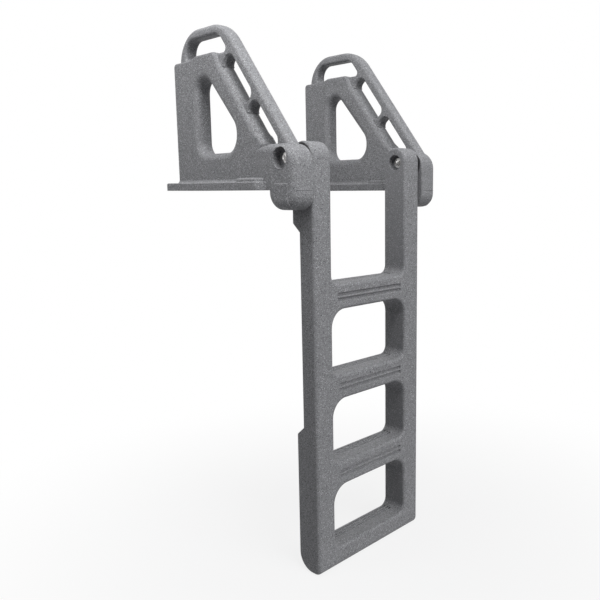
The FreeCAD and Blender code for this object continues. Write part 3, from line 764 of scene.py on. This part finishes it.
@dataclass(frozen=True)
class Hexagon:
    """The six flats of a bolt's head or a nut.

    Attributes:
        flats: the width across the flats.
        turn: how far it is turned, in degrees.
        rounding: how far out the corners reach, in shares of a keen corner's distance.
        chamfer: the slope of the cone at its end, in degrees.
    """

    flats: float = 19 * MM
    turn: float = 8.0
    rounding: float = 0.988
    chamfer: float = 30.0

    def radius(self, around: np.ndarray) -> np.ndarray:
        """The distance of the flats from the axis.

        It is half the flats divided by the cosine of the angle from the nearest flat's middle, cut
        off by a round just inside the corners.

        Args:
            around: the angle round the axis, in radians.

        Returns:
            The distance at each angle.
        """
        sector = math.pi / 3
        from_flat = np.mod(around - math.radians(self.turn), sector) - sector / 2
        straight = self.flats / 2 / np.cos(from_flat)
        return np.minimum(straight, self.flats / 2 / math.cos(sector / 2) * self.rounding)

    def cone(self, around: np.ndarray, end: float, inwards: float, flat: float) -> np.ndarray:
        """Where the flats meet the cone that chamfers their end.

        Args:
            around: the angle round the axis.
            end: the end face's place along the axis.
            inwards: 1 if the body lies further along the axis, otherwise -1.
            flat: the radius of the end face.

        Returns:
            The place along the axis: the end, moved by the tangent of the chamfer times how far the
            flat stands out past the end face.
        """
        past = np.maximum(self.radius(around) - flat, 0.0)
        return end + inwards * math.tan(math.radians(self.chamfer)) * past


@dataclass
class PivotBolt:
    """A hexagon bolt: chamfered head, washer face, plain shank and a threaded tail.

    Attributes:
        side: the end of the pivot that it is at.
        hexagon: its head's outline.
        head: the height of the head.
        end_face: the radius of the head's end face, in widths across the flats.
        dish: the end face's shallow dish, as depths and as radii in shares of the face's.
        washer_face: the radius of the washer face, in widths across the flats, and its height.
        fillet: the radius of the fillet under the head.
        diameter: the shank's diameter.
        buried: how far the shank runs on into the head.
        pitch: the thread's pitch.
        threaded: the length of the thread.
        depth: the thread's depth, in pitches.
        run_in: how long the thread takes to reach it, in pitches.
        point: the depth of the cone that ends the tail.
    """

    side: Side
    hexagon: Hexagon = Hexagon()
    head: float = 8 * MM
    end_face: float = 0.455
    dish: tuple[Pair, ...] = ((1.3 * MM, 0.0), (1.2 * MM, 0.40), (0.2 * MM, 0.72), (0.0, 0.80))
    washer_face: Pair = (0.47, 0.5 * MM)
    fillet: float = 0.5 * MM
    diameter: float = 12.7 * MM
    buried: float = 1.5 * MM
    pitch: float = 1.954 * MM
    threaded: float = 32 * MM
    depth: float = 0.60
    run_in: float = 2.0
    point: float = 0.9 * MM

    def head_grid(self, axis: PivotAxis, start: float) -> np.ndarray:
        """The head, from the middle of its end to the fillet on the shank, closed there.

        Its rows are circles and hexagons: the end face with a shallow dish, the cone, the flats,
        the washer face and the fillet under the head.

        Args:
            axis: where it is placed.
            start: x of the end face.

        Returns:
            The grid.
        """
        around = np.linspace(0.0, FULL_TURN, 145)
        hexagon = self.hexagon.radius(around)
        flat = self.end_face * self.hexagon.flats
        washer_face = self.washer_face[0] * self.hexagon.flats
        seat = start + self.head
        step = seat - self.washer_face[1]
        shank = self.diameter / 2
        rows = [(start + depth, share * flat) for depth, share in self.dish]
        rows += [
            (start, flat),
            (self.hexagon.cone(around, start, 1.0, flat), np.maximum(hexagon, flat)),
            (step, hexagon),
            (step, washer_face),
            (seat, washer_face),
            (seat, shank + self.fillet),
            (seat + 0.3 * self.fillet, shank + 0.3 * self.fillet),
            (seat + self.fillet, shank),
            (seat + self.fillet, 0.0),
        ]
        return axis.rings(rows, around)

    def shank_grid(self, axis: PivotAxis, start: float, end: float) -> np.ndarray:
        """The shank and its thread.

        The thread's radius is the shank's less a depth times a triangle wave of the distance along
        the axis in pitches minus the turn round it, clipped flat at the crest and the root. The
        depth fades in where the thread begins, and a cone ends the tail.

        Args:
            axis: where it is placed.
            start: x where the shank begins, inside the head.
            end: x of the tail's end.

        Returns:
            The grid, closed at the middle of both ends.
        """
        steepness, root = 1.15, 0.08
        thread = np.arange(end - self.threaded, end, self.pitch / 9)
        rows = np.concatenate([[start, start], thread, [end, end]])
        along, turn = np.meshgrid(rows, np.linspace(0.0, FULL_TURN, 49), indexing="ij")
        threads = (along - thread[0]) / self.pitch
        phase = np.mod(threads - turn / FULL_TURN, 1.0)
        ridge = np.clip(steepness * (1 - np.abs(2 * phase - 1)) - root, 0.0, 1.0)
        depth = self.depth * self.pitch * np.clip(threads / self.run_in, 0.0, 1.0)
        cone = self.diameter / 2 - self.point + (end - along)
        radius = np.minimum(self.diameter / 2 - depth * (1 - ridge), cone)
        radius[[0, -1]] = 0.0
        return axis.place(along, turn, radius)

    def build(self, steel: bpy.types.Material) -> bpy.types.Object:
        """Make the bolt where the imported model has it.

        Args:
            steel: its material.

        Returns:
            The bolt's object.
        """
        node = f"{self.side.value}_pivot_bolt"
        outer, inner = left_hand_span(node, self.side)
        axis = PivotAxis(self.side)
        shank_start = outer + self.head - self.buried
        grids = [self.head_grid(axis, outer), self.shank_grid(axis, shank_start, inner)]
        made = grid_object(f"{node}_threaded", grids, self.side is Side.LEFT)
        return fit(made, steel, node)


@dataclass
class PivotWasher:
    """A flat washer, pressed out of sheet: its upper edge is rounded and its lower one is keen.

    Attributes:
        side: the end of the pivot that it is at.
        name: which washer it is.
        bore: the radius of its hole.
        rounding: the radius of its rounded edge.
        keen: the radius of its other edges.
    """

    side: Side
    name: str
    bore: float = 6.45 * MM
    rounding: float = 0.7 * MM
    keen: float = 0.2 * MM

    def build(self, steel: bpy.types.Material) -> bpy.types.Object:
        """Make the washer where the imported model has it.

        Its section is a rectangle with four rounds, carried round the axis.

        Args:
            steel: its material.

        Returns:
            The washer's object.
        """
        node = f"{self.side.value}_{self.name}"
        outer, inner = left_hand_span(node, self.side)
        low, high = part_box(node)
        rim = (high.z - low.z) / 2
        big, small = self.rounding, self.keen
        section = closed(
            arc((outer + small, self.bore + small), small, 270, 180),
            arc((outer + big, rim - big), big, 180, 90, 7),
            arc((inner - small, rim - small), small, 90, 0),
            arc((inner - small, self.bore + small), small, 0, -90),
        )
        grids = [PivotAxis(self.side).revolve(section)]
        made = grid_object(f"{node}_pressed", grids, self.side is Side.LEFT)
        return fit(made, steel, node)


@dataclass
class LockNut:
    """A lock nut: a chamfered hexagon with a round collar that is crimped over a nylon ring.

    Attributes:
        side: the end of the pivot that it is at.
        hexagon: its outline.
        bore: the radius of its hole.
        countersink: the depth of the chamfer of the hole.
        bearing: the radius of its bearing face, in widths across the flats.
        collar: the height of the collar.
        collar_radius: the collar's radius, in widths across the flats.
        crown: the radius of the collar's rounded rim.
        lip: how thick the crimped rim is over the ring's edge.
        ring_outside: the nylon ring's outer radius.
        ring_span: how far the ring's two faces lie below the collar's end.
        ring_play: how far the ring reaches past the bore, over the thread.
        ring_round: the radius of the ring's inner edge.
    """

    side: Side
    hexagon: Hexagon = Hexagon(turn=21.0)
    bore: float = 6.45 * MM
    countersink: float = 0.7 * MM
    bearing: float = 0.46
    collar: float = 3.4 * MM
    collar_radius: float = 0.455
    crown: float = 1.3 * MM
    lip: float = 0.2 * MM
    ring_outside: float = 8.1 * MM
    ring_span: Pair = (0.55 * MM, 1.6 * MM)
    ring_play: float = 0.05 * MM
    ring_round: float = 0.5 * MM

    def body_grid(self, axis: PivotAxis, start: float, end: float) -> np.ndarray:
        """The steel of the nut, from its bearing face over the flats and the collar to the bore.

        Args:
            axis: where it is placed.
            start: x of the bearing face.
            end: x of the collar's end.

        Returns:
            The grid, closed through the bore.
        """
        around = np.linspace(0.0, FULL_TURN, 145)
        hexagon = self.hexagon.radius(around)
        flat = self.bearing * self.hexagon.flats
        outside = self.collar_radius * self.hexagon.flats
        shoulder = end - self.collar
        floor = end - self.ring_span[1]
        mouth = (start, self.bore + self.countersink)
        rows = [
            mouth,
            (start, flat),
            (self.hexagon.cone(around, start, 1.0, flat), np.maximum(hexagon, flat)),
            (self.hexagon.cone(around, shoulder, -1.0, outside), np.maximum(hexagon, outside)),
            (shoulder, outside),
            *arc((end - self.crown, outside - self.crown), self.crown, 90, 0, 7),
            (end - self.lip, self.ring_outside),
            (floor, self.ring_outside),
            (floor, self.bore),
            (start + self.countersink, self.bore),
            mouth,
        ]
        return axis.rings(rows, around)

    def ring_section(self, end: float) -> np.ndarray:
        """The nylon ring's section: a rectangle whose inner edge is rounded over the thread."""
        inside = self.bore - self.ring_play
        top, low = (end - below for below in self.ring_span)
        edge = arc((top - self.ring_round, inside + self.ring_round), self.ring_round, 0, -90)
        return closed([(low, inside), (low, self.ring_outside), (top, self.ring_outside)], edge)

    def build(
        self, steel: bpy.types.Material, nylon: bpy.types.Material
    ) -> list[bpy.types.Object]:
        """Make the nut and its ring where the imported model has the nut.

        Args:
            steel: the nut's material.
            nylon: the ring's material.

        Returns:
            The nut's object and the ring's.
        """
        node = f"{self.side.value}_lock_nut"
        outer, inner = left_hand_span(node, self.side)
        axis = PivotAxis(self.side)
        left = self.side is Side.LEFT
        nut = grid_object(f"{node}_crimped", [self.body_grid(axis, outer, inner)], left)
        ring = grid_object(f"{node}_nylon_ring", [axis.revolve(self.ring_section(inner))], left)
        return [fit(nut, steel, node), fit(ring, nylon)]


# Sub-assemblies


@dataclass
class PivotHardware:
    """The bolt, washers and lock nut at one end of the pivot.

    Attributes:
        side: which end it is.
        spacer_rounding: the radius of the spacer washer's rounded edge.
    """

    side: Side
    spacer_rounding: float = 0.9 * MM

    def build(
        self, steel: bpy.types.Material, pressed: bpy.types.Material, nylon: bpy.types.Material
    ) -> list[bpy.types.Object]:
        """Make the fasteners.

        Args:
            steel: the bolt's and nut's material.
            pressed: the washers' material.
            nylon: the material of the ring in the nut.

        Returns:
            The fasteners' objects.
        """
        washers = [PivotWasher(self.side, name) for name in ("head_washer", "nut_washer")]
        washers.append(PivotWasher(self.side, "spacer_washer", rounding=self.spacer_rounding))
        made = [PivotBolt(self.side).build(steel)]
        made += [washer.build(pressed) for washer in washers]
        return made + LockNut(self.side).build(steel, nylon)


@dataclass
class BossDetail:
    """A low round form that stands out of a boss.

    Attributes:
        side: the boss that it is on.
    """

    side: Side
    name: ClassVar[str]

    def grid(self) -> np.ndarray:
        """The surface: rows along the form, columns round it."""
        raise NotImplementedError

    def build(self, plastic: bpy.types.Material) -> bpy.types.Object:
        """Make the form.

        Args:
            plastic: the bracket's finish.

        Returns:
            Its object.
        """
        name = f"{self.side.value}_{self.name}"
        made = grid_object(name, [self.grid()], self.side is Side.LEFT)
        return fit(made, plastic)


@dataclass
class PartingBead(BossDetail):
    """The low bead that the mould's seam leaves across a boss's front, level with the deck.

    Attributes:
        span: x of its ends on the left-hand boss.
        rise: how far it stands out.
        height: how tall it is.
        outer_round: x of the middle of the boss's outer rounded edge.
    """

    name = "parting_bead"
    span: Pair = (-34 * MM, 35 * MM)
    rise: float = 1.1 * MM
    height: float = 3.0 * MM
    outer_round: float = -15.5 * MM

    def grid(self) -> np.ndarray:
        """The bead's surface.

        Along x it follows the boss's front, which curves back round the outer edge as a circle
        does. Its section is an ellipse that shrinks to a point at both ends, by the square root of
        one less the eighth power of the distance from the bead's middle in half lengths.

        Returns:
            The grid: rows along the bead, columns round it.
        """
        length, circle = np.linspace(-1.0, 1.0, 61), np.linspace(0.0, FULL_TURN, 17)
        share, around = np.meshgrid(length, circle, indexing="ij")
        start, end = self.span
        x = (start + end) / 2 + share * (end - start) / 2
        past = np.minimum(x - self.outer_round, 0.0)
        front = BOSS_FRONT + BOSS_EDGE - np.sqrt(BOSS_EDGE**2 - past**2)
        swell = np.sqrt(np.maximum(1.0 - share**8, 0.0))
        y = front - swell * self.rise * np.sin(around)
        z = swell * self.height / 2 * np.cos(around)
        return np.stack([self.side.mirrored(x), y, z], axis=-1)


@dataclass
class RecessLip(BossDetail):
    """The round lip of the recess that the bolt's head sits in, on a boss's outer side.

    Attributes:
        thickness: the lip's own radius.
        set_off: how far its middle lies off the mouth, outwards from the recess and out of the
            boss, in thicknesses.
        flat: x of the boss's outer side on the left-hand boss.
        nose: y and z of the middle of the boss's round front, and that round's radius.
    """

    name = "recess_lip"
    thickness: float = 1.5 * MM
    set_off: Pair = (0.3, 0.45)
    flat: float = -40.5 * MM
    nose: Corner = (-327 * MM, 78 * MM, 62 * MM)

    def grid(self) -> np.ndarray:
        """The lip's surface.

        A small circle is carried round the recess's mouth. The mouth lies in the boss's flat side,
        and where it reaches the rounded edge of the boss's nose it follows the circle of that edge
        inwards: by the edge's radius less the square root of its square less the square of how far
        the mouth is past the flat.

        Returns:
            The grid: rows round the mouth, columns round the lip.
        """
        mouth, circle = np.linspace(0.0, FULL_TURN, 97), np.linspace(0.0, FULL_TURN, 17)
        turn, around = np.meshgrid(mouth, circle, indexing="ij")
        outwards, inwards = self.set_off
        nose_y, nose_z, nose_radius = self.nose
        along_y = np.minimum(RECESS_MIDDLE[0] + RECESS_RADIUS * np.cos(turn) - nose_y, 0.0)
        along_z = np.maximum(RECESS_MIDDLE[1] + RECESS_RADIUS * np.sin(turn) - nose_z, 0.0)
        past = np.maximum(np.hypot(along_y, along_z) - (nose_radius - BOSS_EDGE), 0.0)
        side = self.flat + BOSS_EDGE - np.sqrt(BOSS_EDGE**2 - past**2)
        x = side + self.thickness * (inwards - np.sin(around))
        out = RECESS_RADIUS + self.thickness * (np.cos(around) + outwards)
        return PivotAxis(self.side, RECESS_MIDDLE).place(x, turn, out)


@dataclass(frozen=True)
class WebRounding:
    """What is planed off one edge of a web's sloping front, so that the front is a full round.

    Attributes:
        half_web: half the web's width.
        half_rail: half the rail's width.
        slot_depth: how near the web's middle it begins beside a slot.
        lean: how far the slope leans back from upright, in degrees.
        foot: y and z of the slope's foot.
        radius: the round's radius.
        overrun: how far outside the web's side the round would end.
        reach: the distances up the slope between which it is full.
        fade: how long it takes to run out at either end.
        slots: the distances up the slope between which each finger slot is open.
        flare: how long the slots take to end.
        clear: how far it stands clear of the web's side and, past its reach, of the slope.
        casing: how far outside that its wall and its lid lie.
        pole: how far outside that the points that close its ends lie.
        counts: how many sections it has, and how many points each round.
    """

    half_web: float = 32.7 * MM
    half_rail: float = 23.2 * MM
    slot_depth: float = 5 * MM
    lean: float = 38.65
    foot: Pair = (-274.23 * MM, 100 * MM)
    radius: float = 30 * MM
    overrun: float = 0.5 * MM
    reach: Pair = (112 * MM, 400 * MM)
    fade: float = 48 * MM
    slots: tuple[Pair, ...] = ((30 * MM, 174 * MM), (235 * MM, 373 * MM))
    flare: float = 12 * MM
    clear: float = 2.5 * MM
    casing: Pair = (3 * MM, 5 * MM)
    pole: Pair = (2 * MM, 4 * MM)
    counts: tuple[int, int] = (111, 15)

    def swell(self, along: np.ndarray, span: Pair, run: float) -> np.ndarray:
        """One inside a span and nought outside, with an even S curve, a run long, at its ends."""
        rise = np.clip((along - span[0]) / run + 1, 0, 1) * np.clip((span[1] - along) / run + 1, 0, 1)
        return (rise * rise * (3 - 2 * rise))[:, None]

    def grid(self, side: Side, edge: float) -> np.ndarray:
        """The surface of what is planed off.

        Each row is a section square to the slope. Its inner side is a circle: the depth behind the
        slope is the radius less the square root of its square less the square of how far the place
        is past the circle's middle. Towards the ends of the reach the circle rises out of the web.
        Beside a slot the section runs in nearly to the middle, and beside a bridge to the rail.

        Args:
            side: which bracket.
            edge: -1 for the web's edge at low x, 1 for the other.

        Returns:
            The grid, closed at both ends by a pole.
        """
        sections, points = self.counts
        along = np.linspace(self.reach[0] - self.fade, self.reach[1] + self.fade, sections)
        full = self.swell(along, self.reach, self.fade)
        opened = sum(self.swell(along, slot, self.flare) for slot in self.slots)
        low = self.half_rail + (self.slot_depth - self.half_rail) * opened
        high = self.half_web + self.clear
        across = low + (high - low) * np.linspace(0.0, 1.0, points)
        past = np.maximum(across - (self.half_web + self.overrun - self.radius), 0.0)
        depth = self.radius - np.sqrt(np.maximum(self.radius**2 - past**2, 0.0))
        depth = depth * full - (1 - full) * self.clear
        wall = np.full_like(low, high + self.casing[0])
        lid = np.full_like(low, -self.casing[1])
        across = np.concatenate([across, wall, wall, low, across[:, :1]], axis=1)
        depth = np.concatenate([depth, depth[:, -1:], lid, lid, depth[:, :1]], axis=1)
        height = np.repeat(along[:, None], across.shape[1], axis=1)
        ends = ((1, 1), (0, 0))
        across = np.pad(across, ends, constant_values=high + self.pole[0])
        depth = np.pad(depth, ends, constant_values=-self.pole[1])
        height = np.pad(height, ends, mode="edge")
        sine, cosine = math.sin(math.radians(self.lean)), math.cos(math.radians(self.lean))
        x = edge * across + (0.0 if side is Side.LEFT else 2 * LADDER_MIDDLE)
        y = self.foot[0] + height * sine + depth * cosine
        z = self.foot[1] + height * cosine - depth * sine
        return np.stack([x, y, z], axis=-1)


@dataclass
class RoundedBracket:
    """A bracket with the last of its carving: the web's front rounded and the recess opened out.

    Attributes:
        side: which bracket.
        web: the rounding of the web's front.
        recess_span: x of the ends of what is cut from the left-hand boss.
    """

    side: Side
    web: WebRounding = WebRounding()
    recess_span: Pair = (-60 * MM, -15 * MM)

    def cutters(self) -> list[bpy.types.Object]:
        """What is cut off: the web's two edges, and a cylinder round the bolt's head."""
        start, end = self.recess_span
        profile = [(start, 0.0), (start, RECESS_RADIUS), (end, RECESS_RADIUS), (end, 0.0)]
        grids = [self.web.grid(self.side, edge) for edge in (-1.0, 1.0)]
        grids.append(PivotAxis(self.side, RECESS_MIDDLE).revolve(profile, 97))
        made = [grid_object("carving", [grid], True) for grid in grids]
        for cutter in made:
            point_outwards(cutter.data)
        return made

    def build(self, frame: Frame, plastic: bpy.types.Material) -> bpy.types.Object:
        """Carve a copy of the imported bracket.

        Args:
            frame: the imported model.
            plastic: its finish.

        Returns:
            The bracket's object.
        """
        node = f"{self.side.value}_bracket"
        cutters = self.cutters()
        packed = PackedSurface.read(frame["nodes"][node].data)
        carved = new_object(f"{node}_carved", packed.merged(f"{node}_carved"))
        for cutter in cutters:
            cut = carved.modifiers.new("carving", "BOOLEAN")
            cut.operation, cut.solver, cut.object = "DIFFERENCE", "EXACT", cutter
        finished = apply_modifiers(carved)
        finished.set_sharp_from_angle(angle=math.radians(CARVED_SHARP_DEGREES))
        packed.shade(finished)
        for cutter in cutters:
            bpy.data.objects.remove(cutter)
        finished.materials.clear()
        return fit(carved, plastic, node)


@dataclass
class LadderPanel:
    """The ladder panel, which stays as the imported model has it."""

    node: str = "ladder_panel"

    def dress(self, frame: Frame, plastic: bpy.types.Material) -> bpy.types.Object:
        """Give the panel its finish.

        Args:
            frame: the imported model.
            plastic: the finish.

        Returns:
            The panel's object.
        """
        panel = frame["nodes"][self.node]
        for holder in panel.material_slots:
            holder.material = plastic
        return panel


# The studio


@dataclass(frozen=True)
class SoftSun:
    """A wide soft lamp, far away.

    Attributes:
        name: its name.
        azimuth: where it stands, in degrees from straight in front of the ladder to its right.
        elevation: how high it stands, in degrees.
        level: how bright it makes a white surface that faces it.
        spread: its width, in degrees.
    """

    name: str
    azimuth: float
    elevation: float
    level: float
    spread: float

    def build(self) -> None:
        """Make the lamp."""
        lamp = bpy.data.lights.new(self.name, "SUN")
        lamp.energy = self.level * math.pi
        lamp.angle = math.radians(self.spread)
        turn, height = math.radians(self.azimuth), math.radians(self.elevation)
        ahead = math.cos(height)
        towards = Vector((math.sin(turn) * ahead, -math.cos(turn) * ahead, math.sin(height)))
        made = new_object(self.name, lamp)
        made.rotation_euler = towards.to_track_quat("Z", "Y").to_euler()


@dataclass(frozen=True)
class SoftPanel:
    """A square lamp with a diffuser, near the ladder.

    Attributes:
        name: its name.
        stand: where it stands.
        aim: the point that it faces.
        width: the length of its side.
        level: how bright it makes a white surface that faces it at that point.
    """

    name: str
    stand: Corner
    aim: Corner
    width: float
    level: float

    def build(self) -> None:
        """Make the lamp; its power grows with the square of its distance from the point."""
        towards = Vector(self.stand) - Vector(self.aim)
        lamp = bpy.data.lights.new(self.name, "AREA")
        lamp.shape = "SQUARE"
        lamp.size = self.width
        lamp.energy = self.level * (math.pi * towards.length) ** 2
        made = new_object(self.name, lamp)
        made.location = self.stand
        made.rotation_euler = towards.to_track_quat("Z", "Y").to_euler()
        made.visible_camera = False


@dataclass(frozen=True)
class Studio:
    """The plain pale floor, the soft lamps and the white that mirrors and the camera see.

    Attributes:
        floor: the floor's colour.
        shadow: how much of the floor's own light and shade the camera sees over plain white.
        pool: how far from the ladder's middle that share is nought, and is full.
        reach: how far the floor runs from the ladder's middle.
        lamps: the soft lamps, far and near.
    """

    floor: Colour = (0.50, 0.50, 0.51)
    shadow: float = 0.16
    pool: Pair = (1.9, 0.2)
    reach: float = 14.0
    lamps: tuple[SoftSun | SoftPanel, ...] = (
        SoftSun("front_lamp", 0.0, 35.0, 0.72, 40.0),
        SoftSun("right_lamp", 45.0, 40.0, 0.08, 60.0),
        SoftSun("back_lamp", 165.0, 10.0, 0.25, 50.0),
        SoftPanel("left_panel", (-1.2, 0.2, 0.7), (0.1, 0.0, 0.2), 0.8, 0.16),
        SoftPanel("upper_left_panel", (-0.8, 0.1, 1.4), (0.2, -0.1, 0.2), 0.8, 0.55),
        SoftPanel("upper_front_panel", (-0.35, -1.1, 1.35), (0.3, -0.2, 0.2), 0.8, 0.78),
    )

    def seen(self, graph: ShaderGraph) -> Signal:
        """One for rays from the camera, a mirror or glass, and nought for the light's own rays."""
        rays = graph.node("LightPath", {}, {}).outputs
        kinds = [Signal(graph, rays[f"Is {kind} Ray"]) for kind in ("Camera", "Glossy", "Transmission")]
        return (kinds[0] + kinds[1] + kinds[2]).above(0.5)

    def light_world(self) -> None:
        """White for the camera and for reflections, and dark for the rest."""
        world = bpy.data.worlds.new("studio")
        world.use_nodes = True
        bpy.context.scene.world = world
        graph = ShaderGraph(world.node_tree)
        backdrop = graph.output("Background", {}, {"Color": WHITE, "Strength": self.seen(graph)})
        graph.node("OutputWorld", {}, {"Surface": backdrop})

    def floor_material(self) -> bpy.types.Material:
        """A pale matt floor that fades to white for the camera and keeps a soft shadow."""
        material, graph = new_material("pale_floor")
        point = graph.place()
        along_x, along_y, _ = graph.axes(point)
        from_middle = (along_x - LADDER_MIDDLE).hypotenuse(along_y - PIVOT[0])
        surface = {
            "Base Color": graph.shade(self.floor, 0.98 + 0.04 * graph.noise(point, 0.6)),
            "Roughness": 0.9,
            "Specular IOR Level": 0.0,
        }
        matt = graph.output("BsdfPrincipled", {}, surface)
        white = graph.output("Emission", {}, {"Color": WHITE, "Strength": 1.0})
        share = self.seen(graph) * (1.0 - self.shadow * from_middle.ramp(*self.pool))
        graph.finish(graph.output("MixShader", {}, {0: share, 1: matt, 2: white}))
        return material

    def lay_floor(self) -> None:
        """Lay the floor just under the lowest point of the ladder."""
        low, high = LADDER_MIDDLE - self.reach, LADDER_MIDDLE + self.reach
        flat = [(low, -self.reach), (high, -self.reach), (high, self.reach), (low, self.reach)]
        mesh = bpy.data.meshes.new("floor")
        mesh.from_pydata([(*corner, LOWEST - MM) for corner in flat], [], [(0, 1, 2, 3)])
        mesh.materials.append(self.floor_material())
        new_object("floor", mesh)

    def build(self) -> None:
        """Set up the world, the floor and the lamps."""
        self.light_world()
        self.lay_floor()
        for lamp in self.lamps:
            lamp.build()
            LOG.info("%s: level %.2f", lamp.name, lamp.level)


@dataclass(frozen=True)
class Viewpoint:
    """The camera, where the photographer stood.

    Attributes:
        location: its place.
        azimuth: which way it looks, in degrees from +y towards +x.
        pitch: how far it looks down.
        roll: how far it leans to its right.
        lens: its focal length in millimetres.
        sensor: the sensor's width in millimetres.
        shift: how far the picture's middle lies from the lens's axis, in picture widths.
    """

    location: Corner = (-1.32704, -1.89096, -0.01046)
    azimuth: float = 47.9060
    pitch: float = 8.8176
    roll: float = 0.1490
    lens: float = 39.3246
    sensor: float = 36.0
    shift: Pair = (-0.132286, -0.008467)

    def build(self) -> None:
        """Make the camera and give it to the scene."""
        angles = (self.azimuth, self.pitch, self.roll)
        turn, dip, lean = (math.radians(angle) for angle in angles)
        level_way = math.cos(dip)
        ahead = Vector((math.sin(turn) * level_way, math.cos(turn) * level_way, -math.sin(dip)))
        level = ahead.cross(Vector((0.0, 0.0, 1.0))).normalized()
        upright = level.cross(ahead)
        right = math.cos(lean) * level - math.sin(lean) * upright
        above = math.cos(lean) * upright + math.sin(lean) * level
        view = bpy.data.cameras.new("viewpoint")
        view.sensor_width, view.lens = self.sensor, self.lens
        view.shift_x, view.shift_y = self.shift
        made = new_object("viewpoint", view)
        axes = Matrix((right, above, -ahead)).transposed().to_4x4()
        made.matrix_world = Matrix.Translation(self.location) @ axes
        bpy.context.scene.camera = made


def main() -> None:
    """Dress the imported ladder, make its fasteners, and set up the studio and the camera."""
    logging.basicConfig(level=logging.INFO, format="%(name)s: %(message)s")
    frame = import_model()
    bpy.context.scene.view_settings.view_transform = "Standard"
    Viewpoint().build()
    Studio().build()
    plastic, steel, nylon = SpeckledPlastic().make(), TurnedSteel().make(), LockingNylon().make()
    pressed = TurnedSteel("pressed_steel", colour=(0.80, 0.79, 0.78), smoothest=0.36).make()
    pieces = [LadderPanel().dress(frame, plastic)]
    for side in Side:
        pieces += PivotHardware(side).build(steel, pressed, nylon)
        pieces.append(RoundedBracket(side).build(frame, plastic))
        pieces += [PartingBead(side).build(plastic), RecessLip(side).build(plastic)]
    for piece in pieces:
        LOG.info("%s: %d faces", piece.name, len(piece.data.polygons))


if __name__ == "__main__":
    main()
